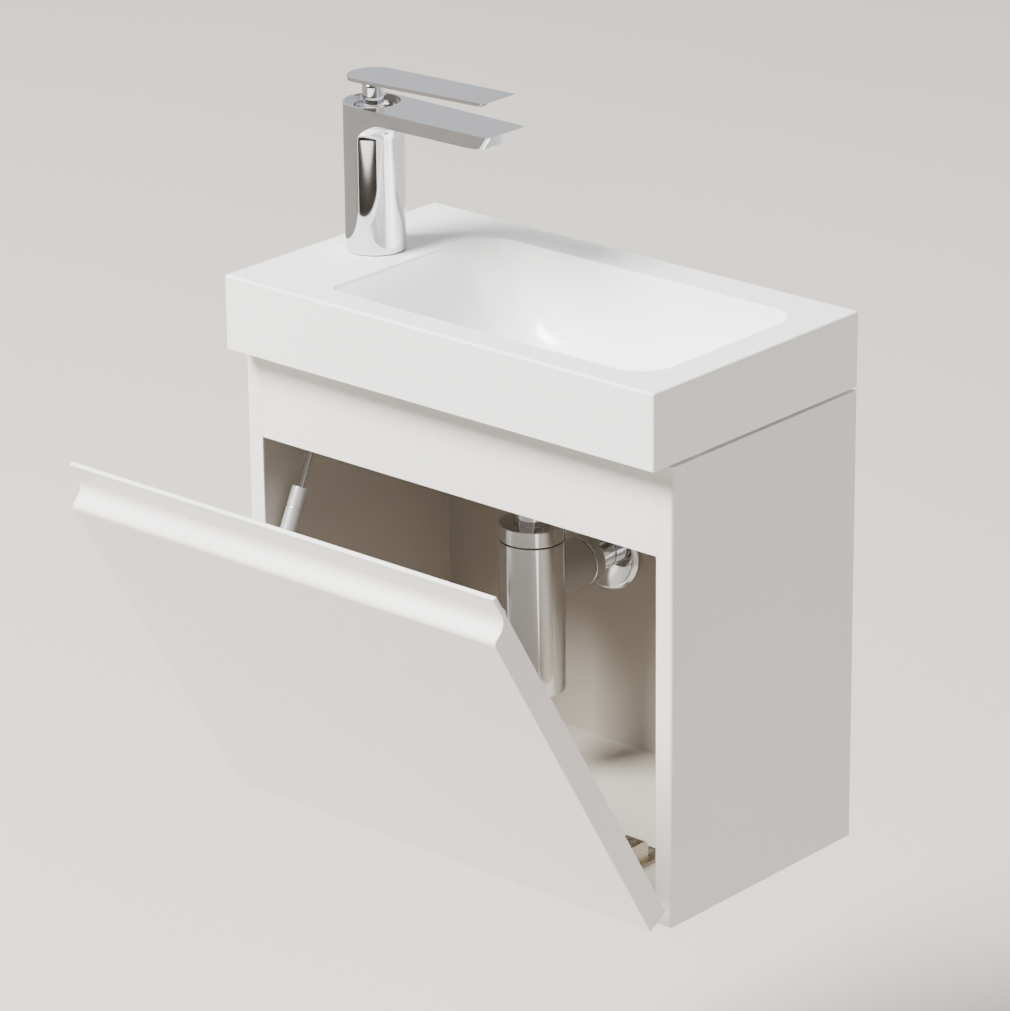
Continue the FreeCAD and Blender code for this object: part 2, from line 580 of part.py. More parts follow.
waste = waste.cut(rod_z(DRAIN, PLUG_STEM_R + 0.05, cross_z - 5, cross_z + 1))
save("waste_body", waste)
plug_z = BOWL_BOTTOM + PLUG_LIFT
dome_radius = (PLUG_R ** 2 + PLUG_DOME ** 2) / (2 * PLUG_DOME)
cap = rod_z(DRAIN, PLUG_R, plug_z, plug_z + PLUG_DOME + 2)
sphere = Part.makeSphere(dome_radius, V(DRAIN.x, DRAIN.y, plug_z + 1 + PLUG_DOME - dome_radius))
plug = cap.common(sphere).fuse(rod_z(DRAIN, PLUG_STEM_R, cross_z - 8, plug_z + 1))
save("waste_plug", plug.removeSplitter())
seal_top = BOWL_BOTTOM - BOWL_WALL
save("waste_seal", tube_z(DRAIN, FLANGE_R, waste_r, seal_top - SEAL_T, seal_top))
nut = hexagon_z(DRAIN, WASTE_NUT_FLATS, seal_top - SEAL_T - WASTE_NUT_T, seal_top - SEAL_T)
save("waste_nut", nut.cut(rod_z(DRAIN, waste_r, seal_top - 40, seal_top)))

# ---------------------------------------------------------------- trap and outlet
cap_top = TOP - TRAP_TOP
cap_bottom = cap_top - TRAP_CAP_HEIGHT
union_bottom = waste_bottom - UNION_NECK
union = tube_z(DRAIN, waste_r + UNION_WALL, waste_r, waste_bottom, waste_bottom + UNION_OVERLAP)
union = union.fuse(tube_z(DRAIN, waste_r + UNION_WALL, PIPE_R, union_bottom, waste_bottom)).removeSplitter()
save("waste_union_nut", union)
inlet_bottom = cap_bottom - TRAP_DIP
save("trap_inlet_tube", tube_z(DRAIN, PIPE_R, PIPE_R - PIPE_WALL, inlet_bottom, waste_bottom))
cap_nut = tube_z(DRAIN, TRAP_R, PIPE_R, cap_bottom, cap_top)
cap_nut = cap_nut.cut(rod_z(DRAIN, TRAP_R - TRAP_WALL, cap_bottom - 1, cap_top - CAP_ROOF))
cap_rim = [edge for edge in cap_nut.Edges
           if edge.CenterOfMass.z > cap_top - 0.1 and edge.Length > 2 * 3.1 * (TRAP_R - 1)]
save("trap_cap_nut", cap_nut.makeFillet(1.5, cap_rim))
save("trap_cap_seal", tube_z(DRAIN, TRAP_R - 0.4, TRAP_R - TRAP_WALL, cap_bottom - RING_T, cap_bottom))
body_top = cap_bottom - RING_T
body_bottom = body_top - TRAP_BODY_HEIGHT
socket_face = DRAIN.y + SOCKET_REACH
trap = rod_z(DRAIN, TRAP_R, body_bottom, body_top)
trap_foot = [edge for edge in trap.Edges if edge.CenterOfMass.z < body_bottom + 0.1]
trap = trap.makeFillet(2.0, trap_foot)
trap = trap.fuse(rod_y(DRAIN.x, ARM_Z, SOCKET_R, DRAIN.y, socket_face)).removeSplitter()
trap = trap.cut(rod_z(DRAIN, TRAP_R - TRAP_WALL, body_bottom + 3, body_top + 1))
trap = trap.cut(rod_y(DRAIN.x, ARM_Z, PIPE_R, DRAIN.y, socket_face + 1))
save("trap_body", trap)
nut_start = socket_face + RING_T
nut_end = nut_start + NUT_LENGTH
save("trap_outlet_seal", tube_y(DRAIN.x, ARM_Z, SOCKET_R - 0.4, PIPE_R, socket_face, nut_start))
outlet_nut = tube_y(DRAIN.x, ARM_Z, SOCKET_R, PIPE_R, nut_start, nut_end)
nut_rim = [edge for edge in outlet_nut.Edges
           if edge.CenterOfMass.y > nut_end - 0.1 and edge.Length > 2 * 3.1 * (SOCKET_R - 1)]
save("trap_outlet_nut", outlet_nut.makeFillet(2.0, nut_rim))
pipe_start = DRAIN.y + TRAP_R
pipe = rod_y(DRAIN.x, ARM_Z, PIPE_R, pipe_start, 0).fuse(rod_y(DRAIN.x, ARM_Z, SPIGOT_R, 0, SPIGOT_LENGTH))
save("outlet_pipe", pipe.cut(rod_y(DRAIN.x, ARM_Z, PIPE_R - PIPE_WALL, pipe_start - 1, SPIGOT_LENGTH + 1)))
rosette = rod_y(DRAIN.x, ARM_Z, ROSETTE_R, BACK_FACE - ROSETTE_DEPTH, BACK_FACE)
rosette_rim = [edge for edge in rosette.Edges if edge.CenterOfMass.y < BACK_FACE - ROSETTE_DEPTH + 0.1]
rosette = rosette.makeFillet(2.0, rosette_rim)
rosette = rosette.cut(rod_y(DRAIN.x, ARM_Z, ROSETTE_R - 2, BACK_FACE - ROSETTE_DEPTH + 2, 1))
save("wall_rosette", rosette.cut(rod_y(DRAIN.x, ARM_Z, PIPE_R, -20, 1)))

# ---------------------------------------------------------------- tap
tap_foot = TOP + GASKET_T
spout_bottom = TAP_TOP - SPOUT_T


def tongue(back_r, tip_width, reach, corner_r, z, thickness):
    """A plate in plan: round behind the tap's axis, straight tapered sides, square tip with small corners."""
    half = tip_width / 2
    side_angle = atan2(half, reach) + acos(back_r / hypot(reach, half))
    start = V(back_r * cos(side_angle), back_r * sin(side_angle), 0)
    tip = V(reach, half, 0)
    mirror = [V(p.x, -p.y, 0) for p in (start, tip)]
    arc = Part.Arc(start, V(-back_r, 0, 0), mirror[0]).toShape()
    wire = Part.Wire([Part.LineSegment(mirror[1], tip).toShape(), Part.LineSegment(tip, start).toShape(), arc,
                      Part.LineSegment(mirror[0], mirror[1]).toShape()])
    plate = Part.Face(wire).extrude(V(0, 0, thickness))
    corners = straight_edges(plate, V(0, 0, 1), lambda c: c.x > reach - 1)
    plate = plate.makeFillet(corner_r, corners)
    plate.translate(V(TAP.x, TAP.y, z))
    return plate


def lean_tip(plate, reach, tip_width, z, thickness, undercut):
    """Slope a tongue's tip inwards below a narrow upright land."""
    tip_x = TAP.x + reach
    tip_side = TAP.y - tip_width
    fall = undercut / (thickness - TIP_LAND)
    corners = [V(tip_x, tip_side, z + thickness - TIP_LAND), V(tip_x + 1, tip_side, z + thickness - TIP_LAND),
               V(tip_x + 1, tip_side, z - 1), V(tip_x - undercut - fall, tip_side, z - 1)]
    wedge = Part.Face(Part.makePolygon(corners + corners[:1])).extrude(V(0, 2 * tip_width, 0))
    return plate.cut(wedge)


spout = tongue(TAP_R, SPOUT_TIP_WIDTH, SPOUT_REACH, SPOUT_CORNER_R, spout_bottom, SPOUT_T)
spout = lean_tip(spout, SPOUT_REACH, SPOUT_TIP_WIDTH, spout_bottom, SPOUT_T, SPOUT_UNDERCUT)
spout_shadow = tongue(TAP_R, SPOUT_TIP_WIDTH, SPOUT_REACH, SPOUT_CORNER_R, tap_foot, TAP_TOP - tap_foot)
# The column is round. Under the spout it flares out in a concave curve, trimmed to the spout's outline.
flare_low = spout_bottom - SPOUT_BLEND_R
flare_wide = TAP_R + SPOUT_BLEND_R
flare_middle = V(flare_wide - SPOUT_BLEND_R * sqrt(0.5), 0, flare_low + SPOUT_BLEND_R * sqrt(0.5))
column_corners = [V(flare_wide, 0, spout_bottom), V(0, 0, spout_bottom), V(0, 0, tap_foot),
                  V(TAP_R, 0, tap_foot), V(TAP_R, 0, flare_low)]
column_edges = [Part.LineSegment(a, b).toShape() for a, b in zip(column_corners, column_corners[1:])]
column_edges.append(Part.Arc(V(TAP_R, 0, flare_low), flare_middle, V(flare_wide, 0, spout_bottom)).toShape())
column = Part.Face(Part.Wire(column_edges)).revolve(V(0, 0, 0), V(0, 0, 1), 360)
column.translate(V(TAP.x, TAP.y, 0))
tap = column.common(spout_shadow).fuse(spout).removeSplitter()
pocket = rod_z(TAP, TAP_POCKET_R, TAP_TOP - TAP_POCKET_DEPTH, TAP_TOP + 1)
cartridge_top = TAP_TOP - TAP_POCKET_DEPTH - CARTRIDGE_DROP
cartridge_bottom = cartridge_top - CARTRIDGE_LENGTH
chamber = rod_z(TAP, CARTRIDGE_R + 0.5, cartridge_bottom, TAP_TOP)
waterway = rod_x(TAP.y, spout_bottom + SPOUT_T / 2, WATERWAY_R, TAP.x, TAP.x + AERATOR_REACH)
aerator_at = V(TAP.x + AERATOR_REACH, TAP.y, 0)
aerator_hole = rod_z(aerator_at, AERATOR_R, spout_bottom - 1, spout_bottom + AERATOR_DEPTH)
shank_socket = rod_z(TAP, SHANK_R, tap_foot - 1, tap_foot + SHANK_ENGAGED)
riser = rod_z(TAP, RISER_R, tap_foot, cartridge_bottom + 1)
tap = tap.cut(pocket).cut(chamber).cut(waterway).cut(aerator_hole).cut(shank_socket).cut(riser)
save("tap_body", tap)
save("tap_gasket", tube_z(TAP, TAP_R - 1, SHANK_R + 0.5, TOP, tap_foot))
aerator = tube_z(aerator_at, AERATOR_R, AERATOR_R - 3, spout_bottom - 1.5, spout_bottom + AERATOR_DEPTH)
screen = rod_z(aerator_at, AERATOR_R - 3, spout_bottom + 1, spout_bottom + 3)
save("tap_aerator", aerator.fuse(screen).removeSplitter())

# The cartridge is fixed; its spindle carrier turns with the lever, and the lever tilts on the carrier.
tilt_z = cartridge_top - TILT_DROP
cartridge = rod_z(TAP, CARTRIDGE_R, cartridge_bottom, cartridge_top)
cartridge = cartridge.cut(rod_z(TAP, CARRIER_R + 0.05, cartridge_top - CARRIER_DEEP, cartridge_top + 1))
save("tap_cartridge", cartridge)
save("tap_cartridge_nut", tube_z(TAP, CARTRIDGE_R + 0.5, STEM_R + 4, cartridge_top,
                                 cartridge_top + CARTRIDGE_NUT_T))
carrier = rod_z(TAP, CARRIER_R, cartridge_top - CARRIER_DEEP, cartridge_top)
slot_half = SPINDLE_R + SPINDLE_PLAY
spindle_slot = block(TAP.x - CARRIER_R, TAP.x + CARRIER_R, TAP.y - slot_half, TAP.y + slot_half,
                     cartridge_top - CARRIER_DEEP + 1.5, cartridge_top + 1)
tilt_pin = rod_y(TAP.x, tilt_z, TILT_PIN_R, TAP.y - CARRIER_R + 1, TAP.y + CARRIER_R - 1)
carrier = carrier.cut(spindle_slot).cut(tilt_pin)
save("tap_carrier", *carrier.Solids)
save("tap_tilt_pin", tilt_pin)

lever_plate = tongue(LEVER_BACK_R, LEVER_TIP_WIDTH, LEVER_REACH, 3.0, 0.0, LEVER_T)
lever_plate = lean_tip(lever_plate, LEVER_REACH, LEVER_TIP_WIDTH, 0.0, LEVER_T, LEVER_UNDERCUT)
stem_foot = TAP_TOP - TAP_POCKET_DEPTH + 0.5
lever_under = TAP_TOP + LEVER_RISE - LEVER_T
lever_plate.translate(V(0, 0, lever_under))
lever_plate.rotate(V(TAP.x, TAP.y, lever_under), V(0, 1, 0), -LEVER_SLOPE)
flare_r = LEVER_BACK_R - FLARE_INSET
flare_start = lever_under - FLARE_HEIGHT
flare_bulge = V(STEM_R + (flare_r - STEM_R) * 0.29, 0, flare_start + FLARE_HEIGHT * 0.71)
arc = Part.Arc(V(STEM_R, 0, flare_start), flare_bulge, V(flare_r, 0, lever_under)).toShape()
flare_outline = Part.Wire([arc, Part.LineSegment(V(flare_r, 0, lever_under), V(0, 0, lever_under)).toShape(),
                           Part.LineSegment(V(0, 0, lever_under), V(0, 0, stem_foot)).toShape(),
                           Part.LineSegment(V(0, 0, stem_foot), V(STEM_R, 0, stem_foot)).toShape(),
                           Part.LineSegment(V(STEM_R, 0, stem_foot), V(STEM_R, 0, flare_start)).toShape()])
stem = Part.Face(flare_outline).revolve(V(0, 0, 0), V(0, 0, 1), 360)
stem.translate(V(TAP.x, TAP.y, 0))
spindle = rod_z(TAP, SPINDLE_R, cartridge_top - CARRIER_DEEP + 3.5, stem_foot + 1)
lever = stem.fuse(rod_z(TAP, flare_r, lever_under - 1, lever_under + 1.5)).fuse(lever_plate)
lever = lever.fuse(spindle)
pin_bore = rod_y(TAP.x, tilt_z, TILT_PIN_R + TILT_PIN_GAP, TAP.y - 2 * CARRIER_R, TAP.y + 2 * CARRIER_R)
save("tap_lever", lever.removeSplitter().cut(pin_bore))

deck_bottom = TOP - BASIN_DECK
shank_bottom = TOP - SHANK_LENGTH
shank = rod_z(TAP, SHANK_R, shank_bottom, tap_foot + SHANK_ENGAGED)
for side in (-1, 1):
    port = V(TAP.x + side * INLET_OFFSET, TAP.y, 0)
    shank = shank.cut(rod_z(port, INLET_R, shank_bottom - 1, shank_bottom + INLET_DEPTH))
    shank = shank.cut(rod_z(port, INLET_R - 1.3, shank_bottom, tap_foot + SHANK_ENGAGED + 1))
save("tap_shank", shank)
washer_bottom = deck_bottom - WASHER_T
save("tap_washer", tube_z(TAP, WASHER_R, SHANK_R + 0.3, washer_bottom, deck_bottom))
backnut = hexagon_z(TAP, BACKNUT_FLATS, washer_bottom - BACKNUT_T, washer_bottom)
save("tap_backnut", backnut.cut(rod_z(TAP, SHANK_R, washer_bottom - 20, deck_bottom)))

# ---------------------------------------------------------------- joint data
closed_span = V(STRUT_X, door_strut_y, door_strut_z).sub(upper)
swing = degrees(atan2(closed_span.z, closed_span.y) - atan2(span.z, span.y))
print("hinge pin", HINGE_Y, HINGE_Z)
print("strut upper pivot", upper, "lower pivot", lower, "length", strut_length, closed_span.Length)
print("strut swing", swing)
print("rod to door", -swing / DOOR_OPEN, "tube to door", -(swing + DOOR_OPEN) / DOOR_OPEN)
print("tap axis", TAP, "tilt height", tilt_z, "drain", DRAIN, "arm height", ARM_Z)
print("shank bottom", shank_bottom)
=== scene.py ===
import json
from math import acos, atan2, ceil, cos, hypot, pi, radians, sin

import bmesh
import bpy
from mathutils import Matrix, Vector


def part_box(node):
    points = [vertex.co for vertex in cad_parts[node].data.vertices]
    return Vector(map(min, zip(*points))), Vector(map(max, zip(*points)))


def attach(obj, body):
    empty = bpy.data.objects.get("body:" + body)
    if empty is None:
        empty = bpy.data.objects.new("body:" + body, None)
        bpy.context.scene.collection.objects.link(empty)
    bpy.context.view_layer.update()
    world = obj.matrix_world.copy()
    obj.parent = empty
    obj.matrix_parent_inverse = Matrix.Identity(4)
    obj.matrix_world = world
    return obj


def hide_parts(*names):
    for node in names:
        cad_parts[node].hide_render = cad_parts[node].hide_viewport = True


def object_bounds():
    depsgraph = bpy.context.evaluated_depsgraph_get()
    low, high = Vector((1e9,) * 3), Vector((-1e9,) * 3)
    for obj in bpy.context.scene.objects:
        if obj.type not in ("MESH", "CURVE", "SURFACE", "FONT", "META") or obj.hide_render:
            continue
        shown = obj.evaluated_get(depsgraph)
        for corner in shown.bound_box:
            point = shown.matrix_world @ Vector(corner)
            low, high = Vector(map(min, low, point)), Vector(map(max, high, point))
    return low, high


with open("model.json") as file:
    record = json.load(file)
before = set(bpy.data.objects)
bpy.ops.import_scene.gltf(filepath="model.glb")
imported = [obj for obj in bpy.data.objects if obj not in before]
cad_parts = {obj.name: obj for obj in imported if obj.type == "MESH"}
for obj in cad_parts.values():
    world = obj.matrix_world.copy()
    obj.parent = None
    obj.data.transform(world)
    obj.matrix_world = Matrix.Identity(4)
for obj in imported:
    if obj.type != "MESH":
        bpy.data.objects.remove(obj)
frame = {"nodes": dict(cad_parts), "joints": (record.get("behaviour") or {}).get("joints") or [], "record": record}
cad_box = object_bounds()

# ---------------------------------------------------------------- view
# A long lens looks down on the cabinet from its right front, so the open cupboard, the deck and
# the tap all show. Upright lines stay almost parallel.
VIEW_TURN = radians(41.40)
VIEW_RISE = radians(20.93)
VIEW_ROLL = radians(-0.57)
VIEW_DISTANCE = 4.3
LENS = 177.08
AIM = Vector((0.0860, -0.2832, -0.0257))

view_right = Vector((cos(VIEW_TURN), sin(VIEW_TURN), 0))
view_back = Vector((sin(VIEW_TURN) * cos(VIEW_RISE), -cos(VIEW_TURN) * cos(VIEW_RISE), sin(VIEW_RISE)))
view_axes = Matrix((view_right, view_back.cross(view_right), view_back)).transposed()
camera = bpy.data.objects.new("camera", bpy.data.cameras.new("camera"))
bpy.context.scene.collection.objects.link(camera)
camera.data.lens = LENS
camera.data.clip_end = 100
camera.matrix_world = (Matrix.Translation(AIM + view_back * VIEW_DISTANCE)
                       @ (view_axes @ Matrix.Rotation(VIEW_ROLL, 3, "Z")).to_4x4())
bpy.context.scene.camera = camera

# ---------------------------------------------------------------- studio
# A plain pale floor lies well below the cabinet and throws light back up. A large soft light hangs
# high in front, a little to the left, and the surroundings are brighter behind than in front.
FLOOR_DROP = 0.45
FLOOR_SIZE = 30.0


def linear(code):
    """Linear colour of an sRGB hex code."""
    channels = [int(code[start:start + 2], 16) / 255 for start in (1, 3, 5)]
    return [c / 12.92 if c <= 0.04045 else ((c + 0.055) / 1.055) ** 2.4 for c in channels] + [1.0]


def add(tree, kind, settings=None, links=None):
    """Add a node, set its sockets and properties by name, and link sockets of other nodes into it."""
    node = tree.nodes.new(kind)
    for name, value in (settings or {}).items():
        if isinstance(name, int) or name in node.inputs:
            node.inputs[name].default_value = value
        else:
            setattr(node, name, value)
    for name, source in (links or {}).items():
        tree.links.new(source, node.inputs[name])
    return node


def finish(name, constants):
    """A material with these constants on its shader, and the object coordinates that patterns start from."""
    material = bpy.data.materials.new(name)
    material.use_nodes = True
    tree = material.node_tree
    shader = tree.nodes["Principled BSDF"]
    for socket, value in constants.items():
        shader.inputs[socket].default_value = value
    place = add(tree, "ShaderNodeTexCoord").outputs["Object"]
    return material, tree, shader, place


def area_light(name, place, target, width, height, power, colour):
    lamp = bpy.data.lights.new(name, "AREA")
    lamp.shape = "RECTANGLE"
    lamp.size = width
    lamp.size_y = height
    lamp.energy = power
    lamp.color = linear(colour)[:3]
    light = bpy.data.objects.new(name, lamp)
    light.location = place
    light.rotation_euler = (Vector(target) - Vector(place)).to_track_quat("-Z", "Y").to_euler()
    bpy.context.scene.collection.objects.link(light)


# Painted screed: matt, with a barely visible cloudiness.
floor_paint, tree, shader, place = finish("painted_screed", {"Roughness": 0.9})
cloud = add(tree, "ShaderNodeTexNoise", {"Scale": 0.8, "Detail": 2.0}, {"Vector": place})
tone = add(tree, "ShaderNodeMix", {"data_type": "RGBA", 6: linear("#CAC3BC"), 7: linear("#D0CAC4")},
           {0: cloud.outputs["Fac"]})
tree.links.new(tone.outputs[2], shader.inputs["Base Color"])
floor_mesh = bmesh.new()
bmesh.ops.create_grid(floor_mesh, x_segments=1, y_segments=1, size=FLOOR_SIZE / 2)
bmesh.ops.translate(floor_mesh, verts=floor_mesh.verts, vec=(0, 0, cad_box[0][2] - FLOOR_DROP))
studio_floor = bpy.data.objects.new("studio_floor", bpy.data.meshes.new("studio_floor"))
floor_mesh.to_mesh(studio_floor.data)
floor_mesh.free()
studio_floor.data.materials.append(floor_paint)
bpy.context.scene.collection.objects.link(studio_floor)

area_light("key_softbox", (-2.4, -5.5, 6.6), (0, -0.1, 0), 4.2, 3.4, 3700, "#FFFEFC")

# Two matt cards stand low in front and to the left, and the camera doesn't see them. The dark one draws a
# dark band down the upright chrome and takes some floor light off the door. The grey one is only reflected.
CARD_BOTTOM = -0.73


def card(name, start, end, top, dark, pale, unseen):
    """An upright card over two points of the floor, not met by the named kinds of ray."""
    paper, tree, shader, place = finish(name, {"Roughness": 0.9})
    fleck = add(tree, "ShaderNodeTexNoise", {"Scale": 40.0}, {"Vector": place})
    tone = add(tree, "ShaderNodeMix", {"data_type": "RGBA", 6: linear(dark), 7: linear(pale)},
               {0: fleck.outputs["Fac"]})
    tree.links.new(tone.outputs[2], shader.inputs["Base Color"])
    bm = bmesh.new()
    bm.faces.new([bm.verts.new((*start, CARD_BOTTOM)), bm.verts.new((*end, CARD_BOTTOM)),
                  bm.verts.new((*end, top)), bm.verts.new((*start, top))])
    sheet = bpy.data.objects.new(name, bpy.data.meshes.new(name))
    bm.to_mesh(sheet.data)
    bm.free()
    sheet.data.materials.append(paper)
    for ray in unseen:
        setattr(sheet, "visible_" + ray, False)
    bpy.context.scene.collection.objects.link(sheet)


card("dark_card", (-0.72, -1.55), (0.94, -1.07), -0.17, "#241C17", "#2E2620", ("camera", "shadow"))
card("grey_card", (-0.76, -1.57), (-1.51, 0.59), 0.12, "#B4B3AF", "#BCBBB7", ("camera", "shadow", "diffuse"))

world = bpy.data.worlds.new("studio_surroundings")
bpy.context.scene.world = world
world.use_nodes = True
sky = world.node_tree
direction = add(sky, "ShaderNodeSeparateXYZ", links={0: add(sky, "ShaderNodeTexCoord").outputs["Generated"]})
depth = add(sky, "ShaderNodeMapRange", {"From Min": -0.5, "From Max": 0.6}, {"Value": direction.outputs["Y"]})
air = add(sky, "ShaderNodeMix", {"data_type": "RGBA", 6: linear("#857C75"), 7: linear("#E6E6EA")},
          {0: depth.outputs["Result"]})
sky.links.new(air.outputs[2], sky.nodes["Background"].inputs["Color"])

# ---------------------------------------------------------------- carcass boards
# Chipboard faced with white melamine on both sides and edged to match. Sides, floor and fascia are
# dowelled together; the edging's corners are trimmed by a router, wider on the sides' front corners.
EDGING_ROUND = 0.0005
SIDE_CORNER_ROUND = 0.003
PAINTED_SHADE_MARGIN = 0.001            # the painted shade's darker tone starts this far inside the boards' inner faces
PAINTED_SHADE_SETBACK = 0.0015          # and this far behind the fascia's front


def box_mesh(low, high):
    """A closed box between two corners."""
    bm = bmesh.new()
    bmesh.ops.create_cube(bm, size=1.0)
    bmesh.ops.scale(bm, vec=Vector(high) - Vector(low), verts=bm.verts)
    bmesh.ops.translate(bm, vec=(Vector(high) + Vector(low)) / 2, verts=bm.verts)
    return bm


def edges_where(bm, test):
    """Edges whose middle point passes the test."""
    return [edge for edge in bm.edges if test((edge.verts[0].co + edge.verts[1].co) / 2)]


def sharp_edges(bm, angle):
    """Edges whose two faces turn by more than the angle."""
    return [edge for edge in bm.edges if len(edge.link_faces) == 2 and edge.calc_face_angle() > angle]


def round_over(bm, edges, radius, segments):
    bmesh.ops.bevel(bm, geom=edges, offset=radius, offset_type="OFFSET", segments=segments, profile=0.5,
                    affect="EDGES", clamp_overlap=True, material=-1)


def make_piece(name, bm, material, slot, body, *stands_for):
    """Turn a closed bmesh into a piece with its flats and rounds shaded apart, riding on its body."""
    bmesh.ops.dissolve_degenerate(bm, dist=2e-6, edges=bm.edges)
    bmesh.ops.recalc_face_normals(bm, faces=bm.faces)
    for face in bm.faces:
        face.smooth = True
    mesh = bpy.data.meshes.new(name)
    bm.to_mesh(mesh)
    bm.free()
    mesh.set_sharp_from_angle(angle=radians(32))
    mesh.materials.append(material)
    piece = bpy.data.objects.new(name, mesh)
    bpy.context.scene.collection.objects.link(piece)
    shading = piece.modifiers.new("shading", "WEIGHTED_NORMAL")
    shading.keep_sharp = True
    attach(piece, body)
    if stands_for:
        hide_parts(*stands_for)
    return piece


# Melamine paper pressed against a pearl-textured plate: a soft sheen broken by grains about 1.5 mm wide.
# The faces inside the cupboard take a warm grey tone, painted shade that makes the inside read dim and deep.
melamine, tree, shader, place = finish("pearl_melamine", {"IOR": 1.5})
# Mask of the boards' inner faces, where the painted shade goes.
inside_low = Vector((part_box("side_panel_left")[1].x - PAINTED_SHADE_MARGIN,
                     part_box("fascia_panel")[0].y + PAINTED_SHADE_SETBACK,
                     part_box("floor_panel")[1].z - PAINTED_SHADE_MARGIN))
spot = add(tree, "ShaderNodeSeparateXYZ", links={0: place})
offset = add(tree, "ShaderNodeMath", {"operation": "ABSOLUTE"}, {0: spot.outputs["X"]})
between = add(tree, "ShaderNodeMath", {"operation": "LESS_THAN", 1: -inside_low.x}, {0: offset.outputs[0]})
behind = add(tree, "ShaderNodeMath", {"operation": "GREATER_THAN", 1: inside_low.y}, {0: spot.outputs["Y"]})
above = add(tree, "ShaderNodeMath", {"operation": "GREATER_THAN", 1: inside_low.z}, {0: spot.outputs["Z"]})
both = add(tree, "ShaderNodeMath", {"operation": "MULTIPLY"}, {0: between.outputs[0], 1: behind.outputs[0]})
inside = add(tree, "ShaderNodeMath", {"operation": "MULTIPLY"}, {0: both.outputs[0], 1: above.outputs[0]})
pearl = add(tree, "ShaderNodeTexNoise", {"Scale": 1 / 0.0015, "Detail": 1.0}, {"Vector": place})
cast = add(tree, "ShaderNodeTexNoise", {"Scale": 6.0, "Detail": 2.0}, {"Vector": place})
tone = add(tree, "ShaderNodeMix", {"data_type": "RGBA", 6: linear("#E9E7E2"), 7: linear("#EEECE8")},
           {0: cast.outputs["Fac"]})
# Painted shade: a darker warm grey on the inner faces stands in for the shade inside the cupboard.
tone = add(tree, "ShaderNodeMix", {"data_type": "RGBA", 7: linear("#B0A99F")},
           {0: inside.outputs[0], 6: tone.outputs[2]})
gloss = add(tree, "ShaderNodeMapRange", {"To Min": 0.36, "To Max": 0.48}, {"Value": pearl.outputs["Fac"]})
relief = add(tree, "ShaderNodeBump", {"Strength": 0.25, "Distance": 0.00004},
             {"Height": pearl.outputs["Fac"]})
tree.links.new(tone.outputs[2], shader.inputs["Base Color"])
tree.links.new(gloss.outputs["Result"], shader.inputs["Roughness"])
tree.links.new(relief.outputs["Normal"], shader.inputs["Normal"])

for panel in ("side_panel_left", "side_panel_right", "floor_panel", "fascia_panel", "hanging_rail"):
    low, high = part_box(panel)
    board = box_mesh(low, high)
    if panel.startswith("side"):
        outer = low.x if "left" in panel else high.x
        corner = edges_where(board, lambda middle: abs(middle.x - outer) < 1e-5
                             and abs(middle.y - low.y) < 1e-5)
        round_over(board, corner, SIDE_CORNER_ROUND, 5)
    round_over(board, sharp_edges(board, radians(60)), EDGING_ROUND, 2)
    make_piece(panel + "_board", board, melamine, "white_board", "cabinet", panel)

# ---------------------------------------------------------------- door
# One board with its long top edge milled to a pull: a thin lip at the back, a cove in front of it
# and a rounded nose. It is sprayed with white lacquer, so every edge is soft. It tilts on its hinges.
DOOR_THICKNESS = 0.0245
DOOR_HEIGHT = 0.425
PIN_INSET = 0.0055
PIN_RISE = 0.0035
LIP_THICKNESS = 0.0045
LIP_HEIGHT = 0.0295
COVE_FALL = 0.0045
COVE_R = 0.009
NOSE_R = 0.004
DOOR_EDGE_R = 0.0012
CUP_POCKET_HEIGHT = 0.020
CUP_POCKET_SKIN = 0.002
CUP_POCKET_WIDTH = 0.030
CUT_SPARE = 0.01                # shapes that cut run this far past what they cut

door_hinge = [joint for joint in frame["joints"] if joint["name"] == "door_hinge"][0]
pin = Vector(door_hinge["pos_m"])
opening = Matrix.Rotation(radians(-door_hinge["range_deg"][0]), 4, "X")


def combined(base, other, operation):
    """Cut one closed bmesh from another, or join them. Both are used up."""
    solids = []
    for bm in (base, other):
        bmesh.ops.recalc_face_normals(bm, faces=bm.faces)
        mesh = bpy.data.meshes.new("solid")
        bm.to_mesh(mesh)
        bm.free()
        solids.append(bpy.data.objects.new("solid", mesh))
        bpy.context.scene.collection.objects.link(solids[-1])
    step = solids[0].modifiers.new("step", "BOOLEAN")
    step.object = solids[1]
    step.operation = operation
    step.solver = "EXACT"
    evaluated = solids[0].evaluated_get(bpy.context.evaluated_depsgraph_get())
    result = bmesh.new()
    result.from_mesh(evaluated.data)
    for solid in solids:
        bpy.data.meshes.remove(solid.data)
    return result


# Two-part lacquer sprayed on a sanded board: satin gloss with orange peel about 3 mm from crest to crest.
lacquer, tree, shader, place = finish("sprayed_white_lacquer", {"IOR": 1.5, "Coat Weight": 0.35,
                                                                "Coat Roughness": 0.12})
peel = add(tree, "ShaderNodeTexNoise", {"Scale": 1 / 0.003, "Detail": 1.0}, {"Vector": place})
cast = add(tree, "ShaderNodeTexNoise", {"Scale": 5.0, "Detail": 2.0}, {"Vector": place})
tone = add(tree, "ShaderNodeMix", {"data_type": "RGBA", 6: linear("#ECEAE7"), 7: linear("#F0EEEB")},
           {0: cast.outputs["Fac"]})
gloss = add(tree, "ShaderNodeMapRange", {"To Min": 0.24, "To Max": 0.32}, {"Value": cast.outputs["Fac"]})
relief = add(tree, "ShaderNodeBump", {"Strength": 0.12, "Distance": 0.00005}, {"Height": peel.outputs["Fac"]})
tree.links.new(tone.outputs[2], shader.inputs["Base Color"])
tree.links.new(gloss.outputs["Result"], shader.inputs["Roughness"])
tree.links.new(relief.outputs["Normal"], shader.inputs["Normal"])

